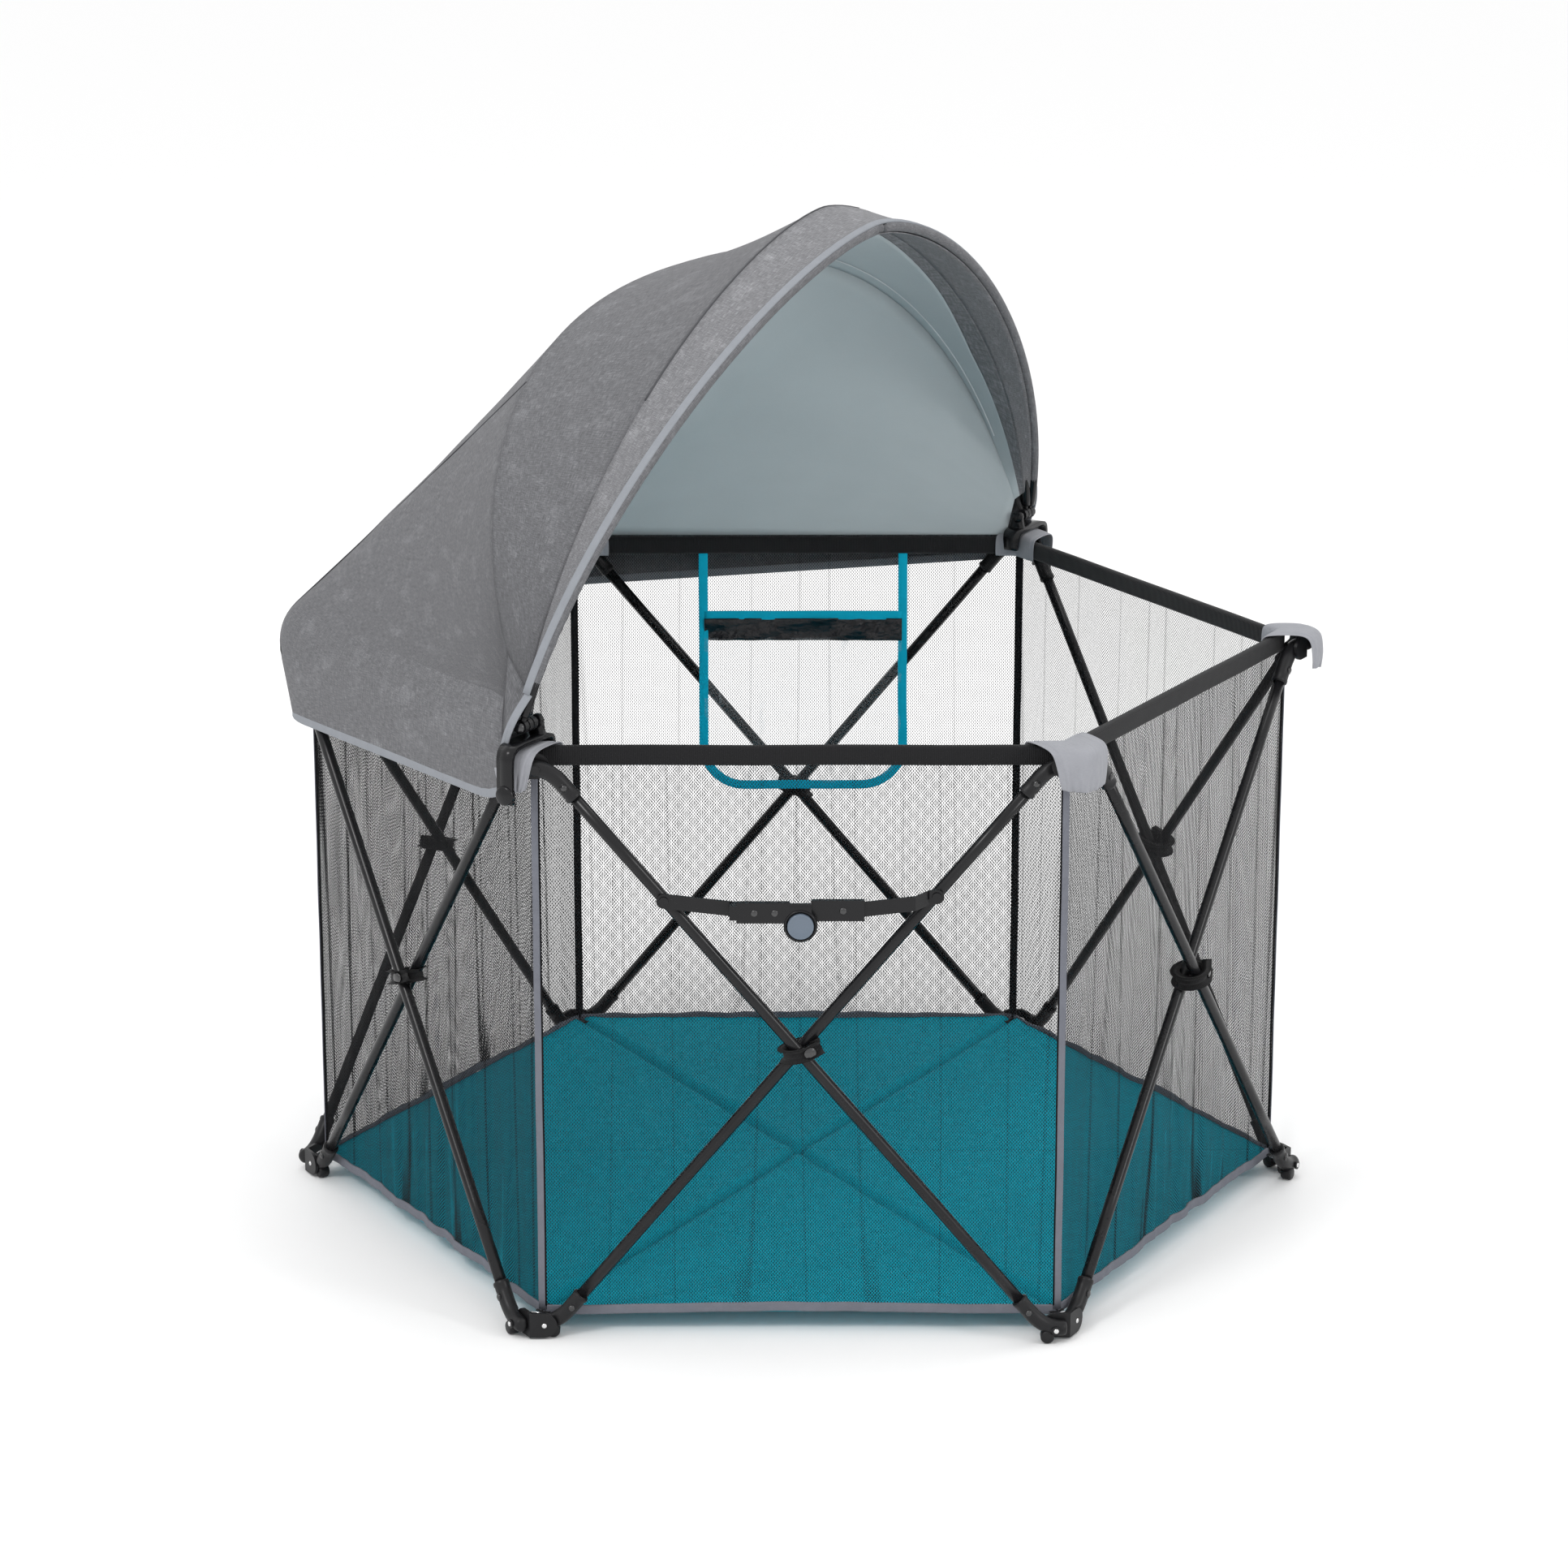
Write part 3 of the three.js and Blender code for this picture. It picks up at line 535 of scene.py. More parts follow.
def elbow_path():
    """Centreline and radii of an elbow: a level part, a bend and a sleeve with a lip at its mouth."""
    knee, bend_end = np.array(along_tube(0)), np.array(along_tube(0.024))
    bend_start = knee - (0.020, 0, 0)
    level = [(-SIDE / 2 + 0.003 + d, LOW, -LAYER) for d in (0, 0.0006, 0.002, 0.005)]
    bend = [curve(bend_start, knee, bend_end, t) for t in np.linspace(0, 1, 12)]
    sleeve = [along_tube(d) for d in (0.032, 0.0405, 0.0415, 0.0445, 0.0455, 0.0460, 0.0460)]
    mouth = [0.0092, 0.0092, 0.0098, 0.0098, 0.0094, 0.0084, 0.0071]
    radii = [0.0030, 0.0066, 0.0084, 0.0090] + [0.0092] * 12 + mouth
    return level + bend + sleeve, radii


PLATE_REACH, PLATE_FACE = 0.0172, -0.0027   # the space that a hub's plate takes round its pivot


def flattened(points):
    """Clears the hub's plate next to the pivot."""
    for p in points.reshape(-1, 3):
        if math.hypot(p[0] - PIVOT_X, p[1] - LOW) < PLATE_REACH:
            p[2] = min(p[2], PLATE_FACE)
    return points


def elbow(name, matrix, flip, look):
    path, radii = elbow_path()
    path = np.array(path, float)
    path[-1] += (np.array(along_tube(1)) - np.array(along_tube(0))) * -0.001
    _, side, normal = frames(path, (0, 0, 1))
    angles = [2 * math.pi * k / 24 for k in range(24)]
    rings = np.array([[p + r * (s * math.cos(a) + n * math.sin(a)) for a in angles]
                      for p, s, n, r in zip(path, side, normal, radii)])
    return grid(name, on(matrix @ flip, flattened(rings)), look, around=True, caps=True)


def placed(flip, point):
    return tuple(flip @ Vector(point))


FOOT = [(-0.0170, 0.0052), (-0.0165, 0.0070), (-0.0150, 0.0080), (-0.0050, 0.0080), (-0.0036, 0.0070),
        (-0.0031, 0.0052)]


def arm(index, side):
    """One crossing tube with both its elbows, foot and rivets."""
    body = f"{PANELS[index]}_{side}_arm"
    tube_node, foot_node = f"{PANELS[index]}_{side}_tube", f"{PANELS[index]}_{side}_foot"
    at = panel(index)
    half_turn = Matrix.Rotation(math.pi, 4, "Y") if side == "outer" else Matrix.Identity(4)
    top = half_turn @ Matrix.Translation((0, 2 * MIDDLE, 0)) @ Matrix.Rotation(math.pi, 4, "Z")
    path = [along_tube(d) for d in np.linspace(0.030, TUBE_LENGTH - 0.030, 8)]
    tube = round_bar(f"{body}_tube", [placed(half_turn, p) for p in path], [TUBE_R] * 8, STEEL, at, 24)
    parts = [tube]
    for place, where in ((half_turn, "lower"), (top, "upper")):
        sleeve = elbow(f"{body}_{where}_elbow", at, place, PLASTIC)
        out = 1 if side == "inner" else -1
        head = placed(place, along_tube(0.028, -LAYER + out * 0.0088))
        ring = domed(f"{body}_{where}_washer", head, (0, 0, 1), 0.0052, 0.0010, GLOSS, at)
        rivet = domed(f"{body}_{where}_rivet", head, (0, 0, 1), 0.0038, 0.0022, RIVET, at)
        parts.append(joined(f"{body}_{where}_sleeve", [sleeve, ring, rivet]))
    centre = (PIVOT_X + FOOT_SHIFT, 0.0080, 0)
    facing = placed(half_turn, (0, 0, 1))
    lobe = turned(f"{body}_foot", placed(half_turn, centre), facing, FOOT, PLASTIC, at, 28)
    parts[1] = joined(f"{body}_lower_sleeve", [parts[1], lobe])
    for piece, node in zip(parts, (tube_node, foot_node, tube_node)):
        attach(piece, body)
        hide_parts(node)


for index in range(6):
    for side in ("inner", "outer"):
        arm(index, side)

for index, name in enumerate(CORNERS):
    for level, height in (("bottom", LOW), ("top", HIGH)):
        dress(f"{name}_{level}_hub", PLASTIC, 0.0008)
    body = f"{name}_lower_corner"
    for number in (index, (index - 1) % 6):
        x = PIVOT_X if number == index else -PIVOT_X
        # The inner elbow's pin head is inside the panel, so a bright pin end shows only on the outer one.
        depth = 0.0196 if number != index else 0.0025
        pin = domed(f"{body}_pin_{number}", (x, LOW, depth), (0, 0, 1), 0.0030, 0.0012, CHROME, panel(number))
        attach(pin, body)


# Straps round the crossings

def crossing_strap(index):
    """Webbing wrapped round a crossing and closed with a round snap."""
    at = panel(index) @ Matrix.Translation((0, MIDDLE, 0)) @ Matrix.Rotation(math.radians(14), 4, "Z")
    loop = []
    for t in np.linspace(0, 1, 44):
        angle = math.radians(62) - 2 * math.pi * t
        grow = 1 + 0.05 * t
        loop.append((0.0190 * grow * math.cos(angle), 0, 0.0182 * grow * math.sin(angle)))
    tail = [np.array(loop[-1]) + (0.004 * k, 0.0007 * k, -0.0016 * k) for k in range(1, 5)]
    path = np.array([*loop, *tail])
    band = tape(f"{PANELS[index]}_crossing_strap", path, (0, 1, 0), 0.0012, 0.0145, STRAP, at)
    snap = domed("snap", (0.0115, 0, 0.0188), (0.25, 0, 1), 0.0062, 0.0016, RIVET, at)
    edge = [(0, 0.0068), (0.001, 0.0072), (0.0016, 0.0066)]
    rim = turned("rim", (0.0115, 0, 0.0180), (0.25, 0, 1), edge, RIVET, at)
    strap = joined(f"{PANELS[index]}_crossing_strap", [band, snap, rim])
    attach(strap, f"{PANELS[index]}_outer_arm")


for index in range(6):
    crossing_strap(index)


# Soft enclosure. A net, rail, hem or strip hangs from its panel's first corner.

NET_HALF = (PLANE + NET_W) * TAN_30     # the netting's half width
NET_LOW, NET_TOP = 0.028, 0.690
SLACK_PANELS = (1, 4, 5)


def upper(index):
    return f"{CORNERS[index % 6]}_upper_corner"


def gathers(piece, index):
    """The piece hangs from its panel's first corner, on that corner's body, with a mesh of its own."""
    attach(piece, upper(index))
    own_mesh(piece)


def fold_depth(index, x, z):
    """How far the netting's folds push it out of its plane."""
    slack = 0.0007 if index == 0 else 0.0046
    edge = max(0.0, 1 - (abs(x) / NET_HALF) ** 6)
    low = 0.35 + 0.65 * ((NET_TOP - z) / NET_TOP) ** 1.5
    long_fold = noise.noise((x * 26, z * 2.0, index * 7.3))
    short_fold = noise.noise((x * 75, z * 9.0, index * 3.1))
    return slack * edge * low * (1.5 * long_fold + 0.5 * short_fold)


def net_wall(index):
    columns, rows = np.linspace(-NET_HALF, NET_HALF, 110), np.linspace(NET_LOW, NET_TOP, 34)
    points = [[(x, z, NET_W + fold_depth(index, x, z)) for z in rows] for x in columns]
    look = SIDE_NET if index in SLACK_PANELS else NET
    cloth_net = grid(f"{PANELS[index]}_net", on(panel(index), points), look)
    thicken(cloth_net, 0.0014 if index in SLACK_PANELS else 0.0009)
    gathers(cloth_net, index)
    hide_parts(f"{PANELS[index]}_wall")


def top_rail(index):
    """A rounded band of ribbed webbing over the netting's top edge."""
    half = (PLANE + RAIL_IN) * TAN_30 - 0.001
    middle = (RAIL_IN + RAIL_OUT) / 2
    height = (RAIL_LOW + RAIL_TOP) / 2
    wave = [(0.0006 * noise.noise((x * 9, index, 0)), 0.0008 * noise.noise((x * 7, index, 5)))
            for x in np.linspace(-half, half, 90)]
    path = [(x, height + dz, middle + dw) for x, (dz, dw) in zip(np.linspace(-half, half, 90), wave)]
    section = rounded(RAIL_OUT - RAIL_IN + 0.0005, RAIL_TOP - RAIL_LOW, 0.0042, 4)
    rail = swept(f"{PANELS[index]}_rail", path, (0, 1, 0), section, RAIL, panel(index))
    gathers(rail, index)


def bottom_hem(index):
    """Grey binding round the netting's lower edge."""
    half = NET_HALF - 0.0008
    xs = np.linspace(-half, half, 110)
    lift = [0.0035 * math.cos(math.pi * x / 2 / half) ** 2 + 0.0010 * noise.noise((x * 14, index, 2))
            for x in xs]
    path = [(x, NET_LOW - 0.0005 + up, NET_W + fold_depth(index, x, NET_LOW) + 0.0005)
            for x, up in zip(xs, lift)]
    hem = tape(f"{PANELS[index]}_hem", path, (0, 0, 1), 0.0115, 0.0030, BINDING, panel(index))
    gathers(hem, index)


def corner_strip(index):
    """The seam tape up a netting corner: grey outside and black inside."""
    out = NET_HALF * 2 - SIDE
    turn = corner(index)
    pieces = []
    layers = (("tape", BINDING, 0.0011, 0.0090), ("backing", BLACK_TAPE, -0.0013, 0.0105))
    for name, look, shift, width in layers:
        path = [(out + shift + 0.0005 * noise.noise((z * 12, index, shift)), z,
                 0.0006 * noise.noise((z * 8, 3, index)))
                for z in np.linspace(NET_LOW, NET_TOP, 50)]
        pieces.append(tape(name, path, (1, 0, 0), width, 0.0014, look, turn))
    strip = joined(f"{CORNERS[index]}_corner_tape", pieces)
    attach(strip, upper(index))


for index in range(6):
    net_wall(index)
    top_rail(index)
    bottom_hem(index)
    corner_strip(index)


# Floor mat: two halves of a hexagon with soft creases where it folds

MAT_R = (PLANE + NET_W - 0.0023) / math.cos(math.pi / 6)
MAT_TOP = 0.0290


def mat_height(x, y):
    crease = 0.0
    for side in (-1, 1):
        off = abs(y * 0.5 - side * x * math.sqrt(3) / 2) + 0.0025 * noise.noise((x * 9, y * 9, side))
        crease -= 0.0058 * math.exp(-(off / 0.0055) ** 2) - 0.0020 * math.exp(-((off - 0.016) / 0.011) ** 2)
    ripple = 0.0012 * noise.noise((x * 7, y * 7, 1)) + 0.0006 * noise.noise((x * 24, y * 24, 4))
    return MAT_TOP + crease + ripple


def mat_half(name, side):
    apothem = MAT_R * math.cos(math.pi / 6)
    points, uvs = [], []
    for s in np.linspace(-1, 1, 240):
        column = [(s * (MAT_R - t * MAT_R / 2), side * t * apothem) for t in np.linspace(0, 1, 104)]
        points.append([(x, y, mat_height(x, y)) for x, y in column])
        uvs.append(column)
    half = grid(f"{name}_cloth", points, MAT, uvs=uvs)
    thicken(half, 0.0050, -1.0 if side > 0 else 1.0)
    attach(half, name)
    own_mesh(half)
    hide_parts("floor_" + name)


mat_half("mat_front", -1)
mat_half("mat_rear", 1)


def mat_ring(index):
    """A wire ring and a webbing tab that hold a mat corner down to its hub."""
    turn = corner(index)
    angles = np.linspace(0, 2 * math.pi, 33)
    loop = [(-0.0195 + 0.0060 * math.cos(a), 0.0235 + 0.0010 * math.cos(a), 0.0135 * math.sin(a))
            for a in angles]
    ring = round_bar("ring", loop, [0.0009] * len(loop), CHROME, turn, 8, (0, 1, 0))
    tab_path = [(-0.0450, 0.0262, 0), (-0.0380, 0.0258, 0), (-0.0300, 0.0248, 0), (-0.0250, 0.0252, 0)]
    tab = tape("tab", tab_path, (0, 1, 0), 0.0180, 0.0016, STRAP, turn)
    piece = joined(f"{CORNERS[index]}_mat_ring", [tab, ring])
    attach(piece, f"{CORNERS[index]}_lower_corner")


for index in range(6):
    mat_ring(index)


# Corner covers: sewn sleeves that wrap over each top corner

COVER_INNER = [(-0.0336, 0.684), (-0.0338, 0.694), (-0.0336, 0.704), (-0.0318, 0.7105), (-0.0280, 0.7130)]
COVER_OVER = [(-0.0200, 0.7142), (-0.0080, 0.7145), (0.0040, 0.7140), (0.0120, 0.7128)]
COVER_FLAP = [(0.0172, 0.7092), (0.0200, 0.7040), (0.0212, 0.6960), (0.0216, 0.6870), (0.0214, 0.6770),
              (0.0208, 0.6680)]
COVER_REACH = {1: (0.042, 0.045)}       # before and after a corner
USUAL_REACH = (0.042, 0.027)


def corner_point(offset, along, bend):
    """A plan point on the line round a corner, offset out of the tube plane. along is under 0 before it."""
    side = 1 if along < 0 else -1
    step = np.array((-0.5, 0.8660 * side))
    out = np.array((0.8660, 0.5 * side))
    mitre = -offset * TAN_30
    at = mitre + abs(along)
    if at - mitre >= bend:
        return step * at + out * offset
    share = (abs(along) / bend + 1) / 2
    other = np.array((-0.5, -0.8660 * side)), np.array((0.8660, -0.5 * side))
    near = step * (mitre + bend) + out * offset
    far = other[0] * (mitre + bend) + other[1] * offset
    peak = out * offset + step * mitre
    return curve(far, peak, near, share)


def surface_normals(points):
    du, dv = np.gradient(points, axis=0), np.gradient(points, axis=1)
    normal = np.cross(du, dv)
    return normal / np.maximum(np.linalg.norm(normal, axis=2, keepdims=True), 1e-9)


def cover(index):
    """A corner cover. It reaches further along the panel before its corner than along the panel after."""
    tucked = index in (4, 5)                     # under the canopy's skirt
    section = COVER_INNER + COVER_OVER + COVER_FLAP
    rows = []
    hems = []
    for s in np.linspace(-1, 1, 57):
        row, hem = [], []
        for number, (offset, z) in enumerate(section):
            down = max(0.0, (0.714 - z) / 0.052)
            reach = COVER_REACH.get(index, USUAL_REACH)[int(s >= 0)] - 0.011 * down ** 1.3 * (offset > 0)
            offset = offset * 0.84 if tucked and offset > 0 else offset
            bend = 0.045 if tucked else 0.014
            x, across = corner_point(offset, s * reach, bend if offset > 0 else 0.006)
            row.append((x, z - 0.0025 * (1 - s * s) * (offset > 0.02), across))
            hem.append(abs(s) * reach > reach - 0.0085 or number == len(section) - 1)
        rows.append(row)
        hems.append(hem)
    points = np.array(rows)
    normal = surface_normals(points)
    for i, row in enumerate(points):
        for j, p in enumerate(row):
            low = max(0.0, (0.700 - p[1]) / 0.040) * (j > 9)
            crumple = 0.0042 * low * noise.noise((i * 0.22, j * 0.55, index * 5.0))
            ripple = 0.0005 * noise.noise((i * 0.5, j * 0.8, index * 2.0))
            row[j] = p + normal[i, j] * (0.0007 * hems[i][j] + crumple + ripple)
    sleeve = grid(f"{CORNERS[index]}_cover", on(corner(index), points), COVER)
    thicken(sleeve, 0.0012)
    finer = sleeve.modifiers.new("Finer", "SUBSURF")
    finer.levels = finer.render_levels = 1
    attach(sleeve, upper(index))
    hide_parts(f"{CORNERS[index]}_corner_cover")


for index in range(6):
    cover(index)


# Hanging pocket on the rear panel's inner side

POCKET_HALF = 0.139
POCKET_SHIFT = -0.009
POCKET_BEND = 0.055
POCKET_MID, POCKET_LOW, POCKET_TOP = 0.601, 0.364, 0.688
POCKET_W = NET_W - 0.0045
STRIP_LOW, STRIP_TOP, WINDOW_TOP = 0.5665, 0.5970, 0.570


def pocket_outline():
    """Down one side, round the bottom and up the other."""
    half, bend = POCKET_HALF - 0.005, POCKET_BEND
    points = [(-half, z) for z in np.linspace(POCKET_TOP, POCKET_LOW + bend, 34)]
    for start, cx in ((math.pi, -half + bend), (1.5 * math.pi, half - bend)):
        arc = [start + math.pi / 2 * k / 12 for k in range(1, 13)]
        points += [(cx + bend * math.cos(a), POCKET_LOW + bend + bend * math.sin(a)) for a in arc]
        if start == math.pi:
            points += [(x, POCKET_LOW) for x in np.linspace(-half + bend, half - bend, 24)[1:]]
    points += [(half, z) for z in np.linspace(POCKET_LOW + bend, POCKET_TOP, 34)[1:]]
    return points


def pocket_place(x, z, out=0.0):
    sway = 0.0016 * noise.noise((z * 9, x * 4, 1))
    return (x + POCKET_SHIFT + sway, z + 0.0012 * noise.noise((x * 11, z * 5, 2)), POCKET_W + out)


def pocket():
    at = panel(3)
    around = [pocket_place(x, z) for x, z in pocket_outline()]
    border = tape("border", around, (0, 0, 1), 0.0122, 0.0020, TEAL_TAPE, at)
    level = [pocket_place(x, POCKET_MID) for x in np.linspace(-POCKET_HALF + 0.006, POCKET_HALF - 0.006, 40)]
    top_edge = tape("top_edge", level, (0, 0, 1), 0.0122, 0.0022, TEAL_TAPE, at)
    tapes = joined("pocket_tapes", [border, top_edge])
    half = POCKET_HALF - 0.006
    columns = np.linspace(-half, half, 90)

    crumpled = [[np.add(pocket_place(x, z, -0.0012), (0, 0, 0.0035 * noise.noise((x * 34, z * 46, 6))))
                 for z in np.linspace(STRIP_LOW, STRIP_TOP, 14)] for x in columns]
    strip = grid("pocket_black_strip", on(at, crumpled), BLACK_VINYL)
    thicken(strip, 0.0006)
    sheet_points = []
    for x in columns:
        inset = max(0.0, abs(x) - (half - POCKET_BEND))
        low = POCKET_LOW + POCKET_BEND - math.sqrt(max(0.0, POCKET_BEND ** 2 - inset ** 2)) + 0.003
        column = [(x, z) for z in np.linspace(low, WINDOW_TOP, 60)]
        sheet_points.append([np.add(pocket_place(x, z, -0.0006),
                                    (0, 0, 0.0030 * noise.noise((x * 22, z * 22, 9)))) for x, z in column])
    window = grid("pocket_clear_window", on(at, sheet_points), CLEAR_VINYL_PAINTED_GLINTS)
    for piece, slot in ((tapes, "pocket_vinyl"), (strip, "pocket_vinyl"), (window, "pocket_vinyl")):
        gathers(piece, 3)
    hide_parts("rear_pocket")


pocket()


# Lock bar

for node in ("lock_left_link", "lock_right_link"):
    dress(node, GLOSS, 0.0012)


def lock_details():
    at = panel(0)
    face = 0.033
    rim = [(-0.0005, 0.0158), (0.0008, 0.0158), (0.0012, 0.0166), (0.0016, 0.0178), (0.0008, 0.0186),
           (-0.0005, 0.0188)]
    ring = turned("lock_button_ring", (0, LOCK_PIVOT, face), (0, 0, 1), rim, GLOSS, at, 40)
    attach(ring, "lock_left")
    plate = [(x, HOUSING_LEVEL, 0.0292) for x in (-0.0160, -0.0155, -0.0080, 0.0, 0.0080, 0.0120, 0.0125)]
    bridge = swept("lock_housing_bridge", plate, (0, 1, 0), rounded(0.0072, 0.0205, 0.0016), GLOSS, at)
    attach(bridge, "lock_left")
    profile = [(-0.0020, 0.0140), (-0.0020, 0.0150), (0.0036, 0.0150), (0.0048, 0.0146), (0.0052, 0.0138),
               (0.0050, 0.0126), (0.0044, 0.0112), (0.0042, 0.0060), (0.0041, 0.0005)]
    cap = turned("lock_button_cap", (0, LOCK_PIVOT, face - 0.0004), (0, 0, 1), profile, BUTTON, at, 40)
    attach(cap, "lock_button")
    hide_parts("lock_button")
    heads = (("lock_left", -0.0520, 0.0330), ("lock_left", -0.0290, 0.0330), ("lock_right", 0.0480, 0.0246))
    for body, x, depth in heads:
        head = domed(f"{body}_rivet", (x, HOUSING_LEVEL, depth), (0, 0, 1), 0.0042, 0.0020, RIVET, at)
        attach(head, body)


lock_details()


# Canopy: an outer shell, a silver lining, bindings and seams on three bows

ALONG = np.array((0.5, math.sqrt(3) / 2, 0))
BACK = np.array((-math.sqrt(3) / 2, 0.5, 0))
UP = np.array((0, 0, 1))
AXIS = BOW_AXIS * UP
START, SEAM = 0.13, 0.90                # bow angles where the cloth starts and where its side seams meet it
SHARES = np.linspace(0, 1, 97)
SEAM_COLUMNS = (32, 64)
COVER_CLEAR, LINING_CLEAR = 0.0062, -0.0080
HEMS = (0.648, 0.606, 0.632, 0.672)
LINING_END = np.interp(np.abs(SHARES - 0.5), (0, 0.1, 0.2, 0.3), (0.96, 0.90, 0.78, 0.62))[:, None]
HEM_LIFT, HEM_ROUND = 0.016, 0.035      # the hem's rounded ends
RIM_ROW = 30                            # the rear gore's row at the rim


def lean_direction(lean):
    return BACK * math.cos(lean) + UP * math.sin(lean)


def bow_point(name, angle, clear=0.0):
    span, rise, power, lean = BOWS[name]
    x = -math.copysign(abs(math.cos(angle)) ** (2 / power), math.cos(angle))
    y = abs(math.sin(angle)) ** (2 / power)
    return AXIS + ALONG * x * (span + clear) + lean_direction(lean) * y * (rise + clear)


def over_bow(name, clear, start=START):
    angles = np.interp(SHARES, (0, 1 / 3, 2 / 3, 1), (start, SEAM, math.pi - SEAM, math.pi - start))
    return np.array([bow_point(name, angle, clear) for angle in angles])


def round_rim(out, heights, bends, start):
    """Points along the three panels behind the canopy, rounded at the two corners that they pass."""
    radius = (PLANE + out) / math.cos(math.pi / 6)
    turns = [k * math.pi / 3 for k in (4, 3, 2, 1)]
    corners = [radius * np.array((math.cos(turn), math.sin(turn))) for turn in turns]
    points = []
    for share in SHARES:
        side = min(int(3 * share), 2)
        near = start / radius
        part = (3 * share - side) * (1 - near * (side == 2)) + near * (side == 0) * (1 - 3 * share)
        at = corners[side] * (1 - part) + corners[side + 1] * part
        for k, bend in enumerate(bends, 1):
            back, ahead = (corners[k - 1] - corners[k]) / radius, (corners[k + 1] - corners[k]) / radius
            along = (share * 3 - k) * radius
            if abs(along) < bend:
                t = (along / bend + 1) / 2
                at = curve(corners[k] + back * bend, corners[k], corners[k] + ahead * bend, t)
        points.append((*at, np.interp(share, (0, 1 / 3, 2 / 3, 1), heights)))
    return np.array(points)


def between(first, last, rows, sag=0.0):
    """Rows of cloth from one edge to another, drawn in towards the bows' axis between them."""
    made = []
    for v in np.linspace(0, 1, rows):
        row = first * (1 - v) + last * v
        arm_of = row - AXIS
        arm_of -= np.outer(arm_of @ ALONG, ALONG)
        reach = np.linalg.norm(arm_of, axis=1, keepdims=True)
        full = np.minimum(1, reach / 0.4) ** 2
        made.append(row - arm_of / reach * sag * 4 * v * (1 - v) * full)
    return made


def wrinkled(rows, depth, seed):
    points = np.array(rows)
    normal = surface_normals(points)
    for i in range(points.shape[0]):
        edge = min(1, 4 * i / points.shape[0], 4 * (points.shape[0] - 1 - i) / points.shape[0])
        for j in range(points.shape[1]):
            x, y, z = points[i, j]
            wave = noise.noise((x * 5, y * 5, z * 5 + seed))
            wave += 0.35 * noise.noise((x * 17, y * 17, z * 17 + seed))
            points[i, j] += normal[i, j] * wave * depth * edge
    return points


def folds(piece, low, high, body_low, body_high):
    """Bakes the piece's placement into its mesh."""
    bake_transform(piece)


def canopy_piece(name, rows, look, lean_low, lean_high, bodies, wave=0.0012, seed=0, flat=(1.0, 1.0)):
    points = wrinkled(rows, wave, seed)
    cloth_piece = grid(name, points, look)
    thicken(cloth_piece, 0.0011)
    folds(cloth_piece, lean_low, lean_high, *bodies)
    return cloth_piece


def rear_rows(bow_row, rim, hem):
    """From the rear bow down to the rim, over it in a soft bend, and down the skirt to the hem."""
    bend = 0.052
    slope = (rim - bow_row) / np.linalg.norm(rim - bow_row, axis=1, keepdims=True)
    drop = (hem - rim) / np.linalg.norm(hem - rim, axis=1, keepdims=True)
    near, far = rim - slope * bend, rim + drop * bend * 0.8
    rows = between(bow_row, near, 26, 0.002)
    rows += [curve(near, rim, far, t) for t in np.linspace(0, 1, 9)[1:]]
    rows += [far * (1 - t) + hem * t for t in np.linspace(0, 1, 9)[1:]]
    return rows


def canopy():
    base = upper(0)
    lean = {name: values[3] for name, values in BOWS.items()}
    rim = round_rim(0.0245, [0.7205] * 4, (0.042, 0.030), 0.016)
    hem = round_rim(0.0175, HEMS, (0.085, 0.050), 0.014)
    for ends in (SHARES, 1 - SHARES):
        hem[:, 2] += HEM_LIFT * np.maximum(0, 1 - ends / HEM_ROUND) ** 2
    front, middle, rear = (over_bow(name, COVER_CLEAR) for name in ("front", "middle", "rear"))
    shell = rear_rows(rear, rim, hem)
    outer = canopy_piece("canopy_rear_gore", shell, CANOPY, 0, lean["rear"], (base, "bow_rear"), 0.0024, 3,
                         (1.75, 0.75))
    dip = 0.0085 * np.clip((0.5 - np.abs(SHARES - 0.5) - 0.25) / 0.15, 0, 1)[:, None]
    gore = between(rear, middle, 20, dip)
    canopy_piece("canopy_middle_gore", gore, CANOPY, lean["rear"], lean["middle"], ("bow_rear", "bow_middle"),
                 0.0016, 8, (1.55, 0.26))
    band = between(middle, front, 9, 0.0015)
    canopy_piece("canopy_front_band", band, BAND, lean["middle"], lean["front"], ("bow_middle", "bow_front"),
                 0.0005, 5, (1.60, 0.12))
    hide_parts("canopy_cover")
    canopy_lining(base, lean)
    bow_rows = (front, middle, rear)
    fronts = [side_flap(name, shell, bow_rows, column) for name, column in (("front", 0), ("rear", -1))]
    canopy_edges(shell, bow_rows, hem, fronts)


